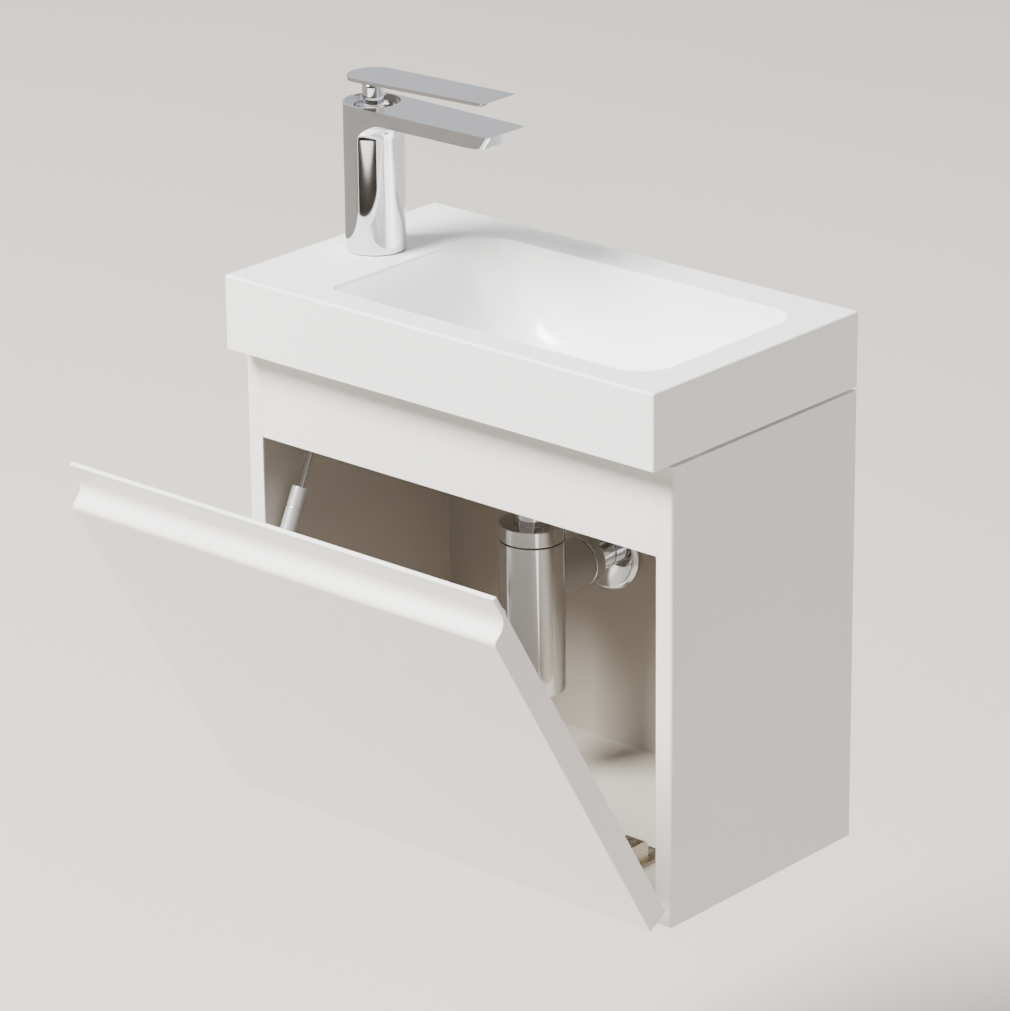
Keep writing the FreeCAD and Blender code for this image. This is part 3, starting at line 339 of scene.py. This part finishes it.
low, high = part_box("door_panel")
door_front = pin.y - PIN_INSET
door_rear = door_front + DOOR_THICKNESS
door_bottom = pin.z - PIN_RISE
door_top = door_bottom + DOOR_HEIGHT
lip_front = door_rear - LIP_THICKNESS
cove_back = door_top - LIP_HEIGHT
profile = [(door_front, door_bottom), (door_rear, door_bottom), (door_rear, door_top), (lip_front, door_top),
           (lip_front, cove_back), (door_front, cove_back - COVE_FALL)]
door = bmesh.new()
end_face = door.faces.new([door.verts.new((low.x, y, z)) for y, z in profile])
grown = bmesh.ops.extrude_face_region(door, geom=[end_face])
bmesh.ops.translate(door, vec=(high.x - low.x, 0, 0),
                    verts=[item for item in grown["geom"] if isinstance(item, bmesh.types.BMVert)])
bmesh.ops.recalc_face_normals(door, faces=door.faces)
cove = edges_where(door, lambda middle: hypot(middle.y - lip_front, middle.z - cove_back) < 1e-5)
round_over(door, cove, COVE_R, 12)
nose = edges_where(door, lambda middle: hypot(middle.y - door_front, middle.z - cove_back + COVE_FALL) < 1e-5)
round_over(door, nose, NOSE_R, 8)
round_over(door, sharp_edges(door, radians(60)), DOOR_EDGE_R, 4)
for side in ("left", "right"):
    cup_low, cup_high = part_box("hinge_cup_" + side)
    middle = (cup_low.x + cup_high.x) / 2
    pocket = box_mesh((middle - CUP_POCKET_WIDTH / 2, door_front + CUP_POCKET_SKIN, door_bottom - CUT_SPARE),
                      (middle + CUP_POCKET_WIDTH / 2, door_rear + CUT_SPARE, door_bottom + CUP_POCKET_HEIGHT))
    door = combined(door, pocket, "DIFFERENCE")
bmesh.ops.rotate(door, cent=pin, matrix=opening, verts=door.verts)
make_piece("door_front_panel", door, lacquer, "door_lacquer", "door", "door_panel")

# ---------------------------------------------------------------- basin
# Cast mineral marble with a polished white gelcoat: a square-edged slab, hollow underneath, with a
# deep bowl that narrows to the drain. The tap's side of the bowl slopes gently, the others drop.
BASIN_HEIGHT = 0.070
BASIN_WALL = 0.014
BASIN_FRONT_WALL = 0.027
BASIN_DECK = 0.016
BASIN_EDGE_R = 0.0025
BOWL_LEFT = 0.097
BOWL_RIGHT = 0.033
BOWL_FRONT = 0.030
BOWL_BACK = 0.040
BOWL_CORNERS = (0.010, 0.035, 0.028, 0.040)     # front left, front right, back right, back left
BOWL_WALL = 0.011
BOWL_RINGS = 30
RIM_R = 0.003
RAMP_START = 0.6                                # how steeply the tap's side starts down
RAMP_WIDTH = 0.09                               # that ramp fades out along the front and back this far
SEAT_R = 0.038
DRAIN_R = 0.020
SHELL_TOP = -0.006                              # the bowl's shell stops below the deck's top
BOWL_CUT_TOP = 0.004                            # and the shape that hollows it rises above
TAP_HOLE_R = 0.0175
TAP_HOLE_DEPTH = 0.03

low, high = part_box("basin")
flange_low, flange_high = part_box("waste_flange")
gasket_low, gasket_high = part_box("tap_gasket")
drain = (flange_low + flange_high) / 2
basin_top = high.z
basin_bottom = high.z - BASIN_HEIGHT
bowl_depth = basin_top - flange_high.z


def bowl_mesh(grow, lift):
    """The bowl as a closed solid, grown outwards by an amount, from lift above its rim."""
    bm = bmesh.new()
    rim_place = bm.verts.layers.float_vector.new("rim_place")
    rim = [(low.x + BOWL_LEFT, low.y + BOWL_FRONT), (high.x - BOWL_RIGHT, low.y + BOWL_FRONT),
           (high.x - BOWL_RIGHT, high.y - BOWL_BACK), (low.x + BOWL_LEFT, high.y - BOWL_BACK)]
    corners = [bm.verts.new((x, y, basin_top)) for x, y in rim]
    bm.faces.new(corners)
    for corner, radius in zip(corners, BOWL_CORNERS):
        bmesh.ops.bevel(bm, geom=[corner], offset=radius, offset_type="OFFSET", segments=12, profile=0.5,
                        affect="VERTICES", material=-1)
    for edge in [edge for edge in bm.edges if edge.calc_length() > 0.02]:
        bmesh.ops.subdivide_edges(bm, edges=[edge], cuts=ceil(edge.calc_length() / 0.005))
    for vert in bm.verts:
        vert[rim_place] = vert.co
    bm.faces.ensure_lookup_table()
    lid = bm.faces[0]
    ring = list(lid.edges)
    for step in range(1, BOWL_RINGS + 1):
        turn = pi / 2 * step / BOWL_RINGS
        grown = bmesh.ops.extrude_edge_only(bm, edges=ring)["geom"]
        ring = [item for item in grown if isinstance(item, bmesh.types.BMEdge)]
        for vert in [item for item in grown if isinstance(item, bmesh.types.BMVert)]:
            start = vert[rim_place]
            inward = Vector((drain.x - start.x, drain.y - start.y, 0))
            reach = inward.length - SEAT_R
            near_tap = min(max(1 - (start.x - low.x - BOWL_LEFT) / RAMP_WIDTH, 0), 1)
            near_tap = near_tap * near_tap * (3 - 2 * near_tap)
            run = step / BOWL_RINGS
            ramp = RAMP_START * run + (3 - 2 * RAMP_START) * run ** 2 + (RAMP_START - 2) * run ** 3
            across = (1 - near_tap) * (1 - cos(turn)) + near_tap * run
            fall = (1 - near_tap) * sin(turn) + near_tap * ramp
            vert.co = start + inward.normalized() * reach * across
            vert.co -= inward.normalized() * grow * cos(turn)
            vert.co.z -= fall * bowl_depth + grow * sin(turn)
    for vert in lid.verts:
        start = vert[rim_place]
        inward = Vector((drain.x - start.x, drain.y - start.y, 0)).normalized()
        vert.co = start - inward * grow + Vector((0, 0, lift))
    bm.faces.new(loop_of(ring))
    return bm


def loop_of(edges):
    """The vertices of a closed ring of edges, in order."""
    first = edges[0].verts[0]
    ring = [first]
    previous = None
    while True:
        options = [edge for edge in ring[-1].link_edges if edge in edges and edge is not previous]
        previous = options[0]
        following = previous.other_vert(ring[-1])
        if following is first:
            return ring
        ring.append(following)


def rod_mesh(centre, radius, bottom, top, steps=96):
    """An upright round bar."""
    bm = bmesh.new()
    bmesh.ops.create_cone(bm, cap_ends=True, segments=steps, radius1=radius, radius2=radius,
                          depth=top - bottom)
    bmesh.ops.translate(bm, vec=(centre.x, centre.y, (top + bottom) / 2), verts=bm.verts)
    return bm


# Polished gelcoat, dulled a little by cleaning: soft highlights, very slightly wavy over a few centimetres,
# a trace of colour variation.
gelcoat, tree, shader, place = finish("polished_gelcoat", {"IOR": 1.54, "Coat Weight": 0.25,
                                                           "Coat Roughness": 0.08})
wave = add(tree, "ShaderNodeTexNoise", {"Scale": 1 / 0.03, "Detail": 1.0}, {"Vector": place})
cast = add(tree, "ShaderNodeTexNoise", {"Scale": 7.0, "Detail": 3.0}, {"Vector": place})
tone = add(tree, "ShaderNodeMix", {"data_type": "RGBA", 6: linear("#F1F1EF"), 7: linear("#F5F5F4")},
           {0: cast.outputs["Fac"]})
gloss = add(tree, "ShaderNodeMapRange", {"To Min": 0.20, "To Max": 0.27}, {"Value": cast.outputs["Fac"]})
relief = add(tree, "ShaderNodeBump", {"Strength": 0.08, "Distance": 0.0002}, {"Height": wave.outputs["Fac"]})
tree.links.new(tone.outputs[2], shader.inputs["Base Color"])
tree.links.new(gloss.outputs["Result"], shader.inputs["Roughness"])
tree.links.new(relief.outputs["Normal"], shader.inputs["Normal"])

slab = box_mesh((low.x, low.y, basin_bottom), (high.x, high.y, basin_top))
outer_edges = edges_where(slab, lambda middle: middle.z > basin_bottom + 1e-4 and middle.y < high.y - 1e-4)
round_over(slab, outer_edges, BASIN_EDGE_R, 5)
hollow = box_mesh((low.x + BASIN_WALL, low.y + BASIN_FRONT_WALL, basin_bottom - CUT_SPARE),
                  (high.x - BASIN_WALL, high.y - BASIN_WALL, basin_top - BASIN_DECK))
tap_at = (gasket_low + gasket_high) / 2
tap_hole = rod_mesh(tap_at, TAP_HOLE_R, basin_top - TAP_HOLE_DEPTH, basin_top + CUT_SPARE, 64)
basin = combined(slab, hollow, "DIFFERENCE")
basin = combined(basin, tap_hole, "DIFFERENCE")
basin = combined(basin, bowl_mesh(BOWL_WALL, SHELL_TOP), "UNION")
basin = combined(basin, bowl_mesh(0.0, BOWL_CUT_TOP), "DIFFERENCE")
basin = combined(basin, rod_mesh(drain, DRAIN_R, low.z - CUT_SPARE, flange_high.z + CUT_SPARE), "DIFFERENCE")
flange_r = (flange_high.x - flange_low.x) / 2
basin = combined(basin, rod_mesh(drain, flange_r, flange_low.z, flange_high.z + CUT_SPARE), "DIFFERENCE")
bowl_rim = edges_where(basin, lambda middle: abs(middle.z - basin_top) < 1e-5
                       and low.x + BOWL_LEFT - 1e-3 < middle.x < high.x - BOWL_RIGHT + 1e-3
                       and low.y + BOWL_FRONT - 1e-3 < middle.y < high.y - BOWL_BACK + 1e-3)
bowl_rim = [edge for edge in bowl_rim if len(edge.link_faces) == 2 and edge.calc_face_angle() > radians(15)]
round_over(basin, bowl_rim, RIM_R, 4)
make_piece("washbasin", basin, gelcoat, "basin_cast", "cabinet", "basin")

# ---------------------------------------------------------------- metal finishes
# Chrome on brass for tap, trap and waste, nickel and zinc on the pressed fittings, and grey enamel on
# the strut. Bare brass shows only inside the waste.


def metal(name, pale, dark, smooth, rough, grain):
    """Plated or turned metal whose sheen varies with handling; grain is the size of that variation."""
    material, tree, shader, place = finish(name, {"Metallic": 1.0})
    smudge = add(tree, "ShaderNodeTexNoise", {"Scale": 1 / grain, "Detail": 3.0}, {"Vector": place})
    tone = add(tree, "ShaderNodeMix", {"data_type": "RGBA", 6: linear(dark), 7: linear(pale)},
               {0: smudge.outputs["Fac"]})
    gloss = add(tree, "ShaderNodeMapRange",
                {"From Min": 0.3, "From Max": 0.7, "To Min": smooth, "To Max": rough},
                {"Value": smudge.outputs["Fac"]})
    tree.links.new(tone.outputs[2], shader.inputs["Base Color"])
    tree.links.new(gloss.outputs["Result"], shader.inputs["Roughness"])
    return material


chrome = metal("bright_chrome_plate", "#E9EAEC", "#DDDFE2", 0.03, 0.07, 0.05)
nickel = metal("plated_nickel_pressing", "#D3CCBE", "#BFB7A8", 0.22, 0.34, 0.006)
zinc = metal("zinc_plated_steel", "#C9CACB", "#B2B3B5", 0.28, 0.40, 0.003)
brass = metal("turned_brass", "#D9B66E", "#C7A257", 0.22, 0.32, 0.004)

# Powder enamel with aluminium flake: grey, satin, with a fine sparkle too small to see as spots.
enamel, tree, shader, place = finish("grey_flake_enamel", {"Metallic": 0.7, "Coat Weight": 0.2})
flake = add(tree, "ShaderNodeTexNoise", {"Scale": 1 / 0.0006, "Detail": 1.0}, {"Vector": place})
tone = add(tree, "ShaderNodeMix", {"data_type": "RGBA", 6: linear("#C6C7C9"), 7: linear("#D9DADC")},
           {0: flake.outputs["Fac"]})
gloss = add(tree, "ShaderNodeMapRange", {"To Min": 0.26, "To Max": 0.40}, {"Value": flake.outputs["Fac"]})
tree.links.new(tone.outputs[2], shader.inputs["Base Color"])
tree.links.new(gloss.outputs["Result"], shader.inputs["Roughness"])

# ---------------------------------------------------------------- strut
# A slim damper holds the door open: a bright rod slides in a grey tube, whose collar is a separate
# turned ring with a fine groove below it. Each end has an eye on a stud.
TUBE_R = 0.00775
STRUT_BORE_R = 0.0035
ROD_R = 0.003
EYE_R = 0.008
ROD_START = 0.010
COLLAR_START = 0.119
COLLAR_LENGTH = 0.019
GROOVE_WIDTH = 0.001
GROOVE_DEPTH = 0.0007


def turned(outline, centre, along, softening, steps=96):
    """Spin an outline of (radius, distance) corners round an axis, and soften its corners."""
    bm = bmesh.new()
    corners = [bm.verts.new((radius, 0, distance)) for radius, distance in outline]
    edges = [bm.edges.new(pair) for pair in zip(corners, corners[1:])]
    if outline[0][0] > 0:
        edges.append(bm.edges.new((corners[-1], corners[0])))
    bmesh.ops.spin(bm, geom=corners + edges, cent=(0, 0, 0), axis=(0, 0, 1), angle=2 * pi, steps=steps,
                   use_merge=True)
    bmesh.ops.remove_doubles(bm, verts=bm.verts, dist=1e-6)
    bmesh.ops.recalc_face_normals(bm, faces=bm.faces)
    round_over(bm, sharp_edges(bm, radians(35)), softening, 3)
    facing = Vector(along).to_track_quat("Z", "Y").to_matrix()
    bmesh.ops.rotate(bm, cent=(0, 0, 0), matrix=facing, verts=bm.verts)
    bmesh.ops.translate(bm, vec=centre, verts=bm.verts)
    return bm


joints = {joint["name"]: joint for joint in frame["joints"]}
upper_pivot = Vector(joints["strut_rod_pivot"]["pos_m"])
lower_pivot = Vector(joints["strut_tube_pivot"]["pos_m"])
down_strut = (lower_pivot - upper_pivot).normalized()
strut_length = (lower_pivot - upper_pivot).length
collar_end = COLLAR_START + COLLAR_LENGTH
tube_end = strut_length - EYE_R + 0.001
collar = turned([(STRUT_BORE_R, COLLAR_START), (TUBE_R, COLLAR_START), (TUBE_R, collar_end),
                 (STRUT_BORE_R, collar_end)], upper_pivot, down_strut, 0.0006, 64)
make_piece("strut_collar_ring", collar, enamel, "strut_grey", "strut_tube", "strut_collar")
groove_end = collar_end + GROOVE_WIDTH
tube = turned([(0, collar_end), (TUBE_R - GROOVE_DEPTH, collar_end), (TUBE_R - GROOVE_DEPTH, groove_end),
               (TUBE_R, groove_end), (TUBE_R, tube_end), (0, tube_end)],
              upper_pivot, down_strut, 0.00025, 64)
make_piece("strut_cylinder", tube, enamel, "strut_grey", "strut_tube", "strut_tube")
rod = turned([(0, ROD_START), (ROD_R, ROD_START), (ROD_R, collar_end), (0, collar_end)],
             upper_pivot, down_strut, 0.0003, 48)
make_piece("strut_piston_rod", rod, chrome, "steel", "strut_rod", "strut_rod")

# ---------------------------------------------------------------- trap and outlet
# A chromed brass bottle trap: a plain cup with a screw cap, a side arm with its nut, a short pipe and
# a rosette over the hole in the back. Black seals show as thin dark lines at both joints.


def sizes(node):
    """Centre of a round node, and its widest radius."""
    node_low, node_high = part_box(node)
    return (node_low + node_high) / 2, (node_high - node_low).x / 2


trap_low, trap_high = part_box("trap_body")
cap_low, cap_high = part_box("trap_cap_nut")
cap_centre, trap_r = sizes("trap_cap_nut")
pipe_r = sizes("trap_inlet_tube")[1]
nut_low, nut_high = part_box("trap_outlet_nut")
nut_centre, socket_r = sizes("trap_outlet_nut")
rosette_low, rosette_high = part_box("wall_rosette")
rosette_r = sizes("wall_rosette")[1]
trap_axis = Vector((cap_centre.x, cap_centre.y, 0))
arm_axis = Vector((nut_centre.x, 0, nut_centre.z))
CAP_WALL = 0.002
CAP_ROOF = 0.004
ROSETTE_CHAMFER = 0.004

cup = turned([(0, trap_low.z), (trap_r, trap_low.z), (trap_r, trap_high.z), (0, trap_high.z)],
             trap_axis, (0, 0, 1), 0.0009, 128)
arm = turned([(0, trap_axis.y), (socket_r, trap_axis.y), (socket_r, trap_high.y), (0, trap_high.y)],
             arm_axis, (0, 1, 0), 0.0006, 96)
make_piece("trap_cup", combined(cup, arm, "UNION"), chrome, "chrome", "cabinet", "trap_body")
cap = turned([(pipe_r, cap_high.z), (trap_r, cap_high.z), (trap_r, cap_low.z), (trap_r - CAP_WALL, cap_low.z),
              (trap_r - CAP_WALL, cap_high.z - CAP_ROOF), (pipe_r, cap_high.z - CAP_ROOF)],
             trap_axis, (0, 0, 1), 0.0009, 128)
make_piece("trap_cap", cap, chrome, "chrome", "cabinet", "trap_cap_nut")
nut = turned([(pipe_r, nut_low.y), (socket_r, nut_low.y), (socket_r, nut_high.y), (pipe_r, nut_high.y)],
             arm_axis, (0, 1, 0), 0.0014, 96)
make_piece("trap_arm_nut", nut, chrome, "chrome", "cabinet", "trap_outlet_nut")
rosette = turned([(pipe_r, rosette_low.y), (rosette_r - ROSETTE_CHAMFER, rosette_low.y),
                  (rosette_r, rosette_low.y + ROSETTE_CHAMFER), (rosette_r, rosette_high.y),
                  (pipe_r, rosette_high.y)], arm_axis, (0, 1, 0), 0.0014, 128)
make_piece("rosette_plate", rosette, chrome, "chrome", "cabinet", "wall_rosette")

# ---------------------------------------------------------------- tap
# A chromed brass mixer: a round column that flares into a flat spout, a shallow round pocket in its
# top, and a thin lever on a flared stem that repeats the spout's outline.
TAP_R = 0.028
SPOUT_REACH = 0.160
SPOUT_TIP_WIDTH = 0.050
SPOUT_T = 0.013
SPOUT_CORNER_R = 0.004
SPOUT_UNDERCUT = 0.009
SPOUT_NOSE_R = 0.002
SPOUT_BLEND_R = 0.018
TRIM_SPARE = 0.00005
POCKET_R = 0.025
POCKET_DEPTH = 0.004
CHAMBER_R = 0.018
CHAMBER_DEPTH = 0.020
AERATOR_DEPTH = 0.008
LEVER_BACK_R = 0.0235
LEVER_REACH = 0.153
LEVER_TIP_WIDTH = 0.0426
LEVER_CORNER_R = 0.003
LEVER_T = 0.0032
LEVER_UNDERCUT = 0.005
LEVER_SLOPE = radians(1.6)
LEVER_RISE = 0.025
STEM_R = 0.010
STEM_FLARE = 0.0085
STEM_FLARE_HEIGHT = 0.009
STEM_GAP = 0.0005
JOIN_DEPTH = 0.001              # parts that are joined run into each other this far


def tongue(back_r, tip_width, reach, corner_r, bottom, top, undercut=0.0):
    """A plate that is round behind the tap's axis, its straight sides meeting a square tip that leans in."""
    half = tip_width / 2
    meeting = atan2(half, reach) + acos(back_r / hypot(reach, half))
    bm = bmesh.new()
    start = bm.verts.new((back_r * cos(meeting), back_r * sin(meeting), bottom))
    bmesh.ops.spin(bm, geom=[start], cent=(0, 0, bottom), axis=(0, 0, 1), angle=2 * (pi - meeting), steps=72)
    tip = [bm.verts.new((reach, -half, bottom)), bm.verts.new((reach, half, bottom))]
    face = bm.faces.new(list(bm.verts))
    bmesh.ops.bevel(bm, geom=tip, offset=corner_r, offset_type="OFFSET", segments=6, profile=0.5,
                    affect="VERTICES", material=-1)
    tip_verts = [vert for vert in bm.verts if vert.co.x > reach - 2 * corner_r]
    grown = bmesh.ops.extrude_face_region(bm, geom=list(bm.faces))
    bmesh.ops.translate(bm, vec=(0, 0, top - bottom),
                        verts=[item for item in grown["geom"] if isinstance(item, bmesh.types.BMVert)])
    bmesh.ops.translate(bm, vec=(-undercut, 0, 0), verts=tip_verts)
    bmesh.ops.recalc_face_normals(bm, faces=bm.faces)
    return bm


def flared(radius, low, high, blend, height, steps=8):
    """Outline of a round post that widens by blend over height at its top, in a quarter of an ellipse."""
    outline = [(0, low), (radius, low), (radius, high - height)]
    for step in range(1, steps + 1):
        turn = pi / 2 * step / steps
        outline.append((radius + blend * (1 - cos(turn)), high - height + height * sin(turn)))
    return outline + [(0, high)]


body_low, body_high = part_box("tap_body")
aerator_low, aerator_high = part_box("tap_aerator")
aerator_at = (aerator_low + aerator_high) / 2
aerator_r = (aerator_high.x - aerator_low.x) / 2
tap_axis = Vector((tap_at.x, tap_at.y, 0))
spout_bottom = body_high.z - SPOUT_T
column = turned(flared(TAP_R, body_low.z, spout_bottom + JOIN_DEPTH, SPOUT_BLEND_R, SPOUT_BLEND_R, 16),
                (0, 0, 0), (0, 0, 1), 0.0002, 192)
trim = tongue(TAP_R + TRIM_SPARE, SPOUT_TIP_WIDTH, SPOUT_REACH, SPOUT_CORNER_R,
              body_low.z - CUT_SPARE, body_high.z + CUT_SPARE)
spout = tongue(TAP_R, SPOUT_TIP_WIDTH, SPOUT_REACH, SPOUT_CORNER_R, spout_bottom, body_high.z, SPOUT_UNDERCUT)
nose = edges_where(spout, lambda middle: abs(middle.z - spout_bottom) < 1e-5
                   and middle.x > SPOUT_REACH - SPOUT_UNDERCUT - SPOUT_CORNER_R)
round_over(spout, nose, SPOUT_NOSE_R, 4)
tap = combined(combined(column, trim, "INTERSECT"), spout, "UNION")
bmesh.ops.translate(tap, vec=tap_axis, verts=tap.verts)
above_tap = body_high.z + CUT_SPARE
for bore in (rod_mesh(tap_axis, POCKET_R, body_high.z - POCKET_DEPTH, above_tap, 128),
             rod_mesh(tap_axis, CHAMBER_R, body_high.z - CHAMBER_DEPTH, above_tap),
             rod_mesh(aerator_at, aerator_r, spout_bottom - CUT_SPARE, spout_bottom + AERATOR_DEPTH)):
    tap = combined(tap, bore, "DIFFERENCE")
make_piece("tap_column_and_spout", tap, chrome, "chrome", "cabinet", "tap_body")

lever_under = body_high.z + LEVER_RISE - LEVER_T
plate = tongue(LEVER_BACK_R, LEVER_TIP_WIDTH, LEVER_REACH, LEVER_CORNER_R, lever_under, lever_under + LEVER_T,
               LEVER_UNDERCUT)
bmesh.ops.rotate(plate, cent=(0, 0, lever_under), matrix=Matrix.Rotation(-LEVER_SLOPE, 3, "Y"),
                 verts=plate.verts)
stem_low = body_high.z - POCKET_DEPTH + STEM_GAP
stem = turned(flared(STEM_R, stem_low, lever_under + JOIN_DEPTH, STEM_FLARE, STEM_FLARE_HEIGHT),
              (0, 0, 0), (0, 0, 1), 0.0002, 96)
lever = combined(plate, stem, "UNION")
bmesh.ops.translate(lever, vec=tap_axis, verts=lever.verts)
make_piece("tap_lever_plate", lever, chrome, "chrome", "tap_lever", "tap_lever")

# ---------------------------------------------------------------- small and hidden fittings
# What is left is pressed, turned or moulded hardware that keeps its worked-out shape. Each gets a
# merged copy with smooth rounds in the finish of its own trade; all but the back panel, the gasket and the seals
# also get softened edges.

# EPDM moulding: matt black.
rubber, tree, shader, place = finish("black_rubber_moulding", {"IOR": 1.5})
bloom = add(tree, "ShaderNodeTexNoise", {"Scale": 1 / 0.004, "Detail": 2.0}, {"Vector": place})
tone = add(tree, "ShaderNodeMix", {"data_type": "RGBA", 6: linear("#17171A"), 7: linear("#232326")},
           {0: bloom.outputs["Fac"]})
gloss = add(tree, "ShaderNodeMapRange", {"To Min": 0.5, "To Max": 0.65}, {"Value": bloom.outputs["Fac"]})
tree.links.new(tone.outputs[2], shader.inputs["Base Color"])
tree.links.new(gloss.outputs["Result"], shader.inputs["Roughness"])

# Cast silicone pads: cloudy, soft, letting some light through.
silicone, tree, shader, place = finish("cast_clear_silicone", {"IOR": 1.41, "Subsurface Weight": 0.4,
                                                               "Subsurface Scale": 0.002})
haze = add(tree, "ShaderNodeTexNoise", {"Scale": 1 / 0.003, "Detail": 2.0}, {"Vector": place})
tone = add(tree, "ShaderNodeMix", {"data_type": "RGBA", 6: linear("#D9D9D4"), 7: linear("#E6E6E1")},
           {0: haze.outputs["Fac"]})
gloss = add(tree, "ShaderNodeMapRange", {"To Min": 0.3, "To Max": 0.42}, {"Value": haze.outputs["Fac"]})
tree.links.new(tone.outputs[2], shader.inputs["Base Color"])
tree.links.new(gloss.outputs["Result"], shader.inputs["Roughness"])

# Fluted beech dowels: straight grain along the dowel, 0.7 mm wide, with short dark flecks.
beech, tree, shader, place = finish("fluted_beech", {"IOR": 1.5, "Roughness": 0.6})
stretched = add(tree, "ShaderNodeMapping", {"Scale": (1 / 0.012, 1 / 0.0007, 1 / 0.0007)}, {"Vector": place})
grain = add(tree, "ShaderNodeTexNoise", {"Scale": 1.0, "Detail": 3.0},
            {"Vector": stretched.outputs["Vector"]})
tone = add(tree, "ShaderNodeMix", {"data_type": "RGBA", 6: linear("#B98D62"), 7: linear("#DDB98C")},
           {0: grain.outputs["Fac"]})
relief = add(tree, "ShaderNodeBump", {"Strength": 0.4, "Distance": 0.0001}, {"Height": grain.outputs["Fac"]})
tree.links.new(tone.outputs[2], shader.inputs["Base Color"])
tree.links.new(relief.outputs["Normal"], shader.inputs["Normal"])

# Moulded off-white acetal: waxy, faintly mottled.
acetal, tree, shader, place = finish("moulded_acetal", {"IOR": 1.48, "Subsurface Weight": 0.1,
                                                        "Subsurface Scale": 0.001})
mottle = add(tree, "ShaderNodeTexNoise", {"Scale": 1 / 0.005, "Detail": 2.0}, {"Vector": place})
tone = add(tree, "ShaderNodeMix", {"data_type": "RGBA", 6: linear("#E2E0DA"), 7: linear("#EAE8E2")},
           {0: mottle.outputs["Fac"]})
gloss = add(tree, "ShaderNodeMapRange", {"To Min": 0.4, "To Max": 0.5}, {"Value": mottle.outputs["Fac"]})
tree.links.new(tone.outputs[2], shader.inputs["Base Color"])
tree.links.new(gloss.outputs["Result"], shader.inputs["Roughness"])

# Thin hardboard, its grey-brown tone painted shade for the dim cupboard: matt, with the press screen's fine
# texture.
hardboard, tree, shader, place = finish("hardboard_in_painted_shade", {"IOR": 1.5, "Roughness": 0.6})
screen = add(tree, "ShaderNodeTexNoise", {"Scale": 1 / 0.0012, "Detail": 2.0}, {"Vector": place})
cast = add(tree, "ShaderNodeTexNoise", {"Scale": 5.0, "Detail": 2.0}, {"Vector": place})
# Painted shade: this darker grey-brown stands in for the shade on the cupboard's back.
tone = add(tree, "ShaderNodeMix", {"data_type": "RGBA", 6: linear("#9E978C"), 7: linear("#A79F94")},
           {0: cast.outputs["Fac"]})
relief = add(tree, "ShaderNodeBump", {"Strength": 0.3, "Distance": 0.00005},
             {"Height": screen.outputs["Fac"]})
tree.links.new(tone.outputs[2], shader.inputs["Base Color"])
tree.links.new(relief.outputs["Normal"], shader.inputs["Normal"])

FITTING_EDGE = 0.0003
finishes = {"back_board": hardboard, "chrome": chrome, "brass": brass, "hinge_nickel": nickel, "steel": zinc,
            "strut_grey": enamel, "black_rubber": rubber, "clear_silicone": silicone, "beech": beech,
            "cartridge_plastic": acetal, "white_board": melamine, "door_lacquer": lacquer,
            "basin_cast": gelcoat}
already_made = {"side_panel_left", "side_panel_right", "floor_panel", "fascia_panel", "hanging_rail",
                "door_panel", "basin", "strut_collar", "strut_tube", "strut_rod", "trap_body", "trap_cap_nut",
                "trap_outlet_nut", "wall_rosette", "tap_body", "tap_lever"}
slots = {part["node"]: part["material_slot"] for part in frame["record"]["subparts"]}
for body, members in frame["record"]["behaviour"]["bodies"].items():
    for node in members:
        if node in already_made:
            continue
        fitting = bmesh.new()
        fitting.from_mesh(frame["nodes"][node].data)
        bmesh.ops.remove_doubles(fitting, verts=fitting.verts, dist=1e-6)
        bmesh.ops.dissolve_limit(fitting, angle_limit=radians(0.5), verts=fitting.verts, edges=fitting.edges)
        piece = make_piece(node + "_fitting", fitting, finishes[slots[node]], slots[node], body, node)
        if node in ("back_panel", "tap_gasket", "trap_cap_seal", "trap_outlet_seal", "waste_seal"):
            continue
        softened = piece.modifiers.new("edges", "BEVEL")
        softened.width = FITTING_EDGE
        softened.segments = 2
        softened.limit_method = "ANGLE"
        softened.angle_limit = radians(40)
        softened.material = -1
        piece.modifiers.move(1, 0)
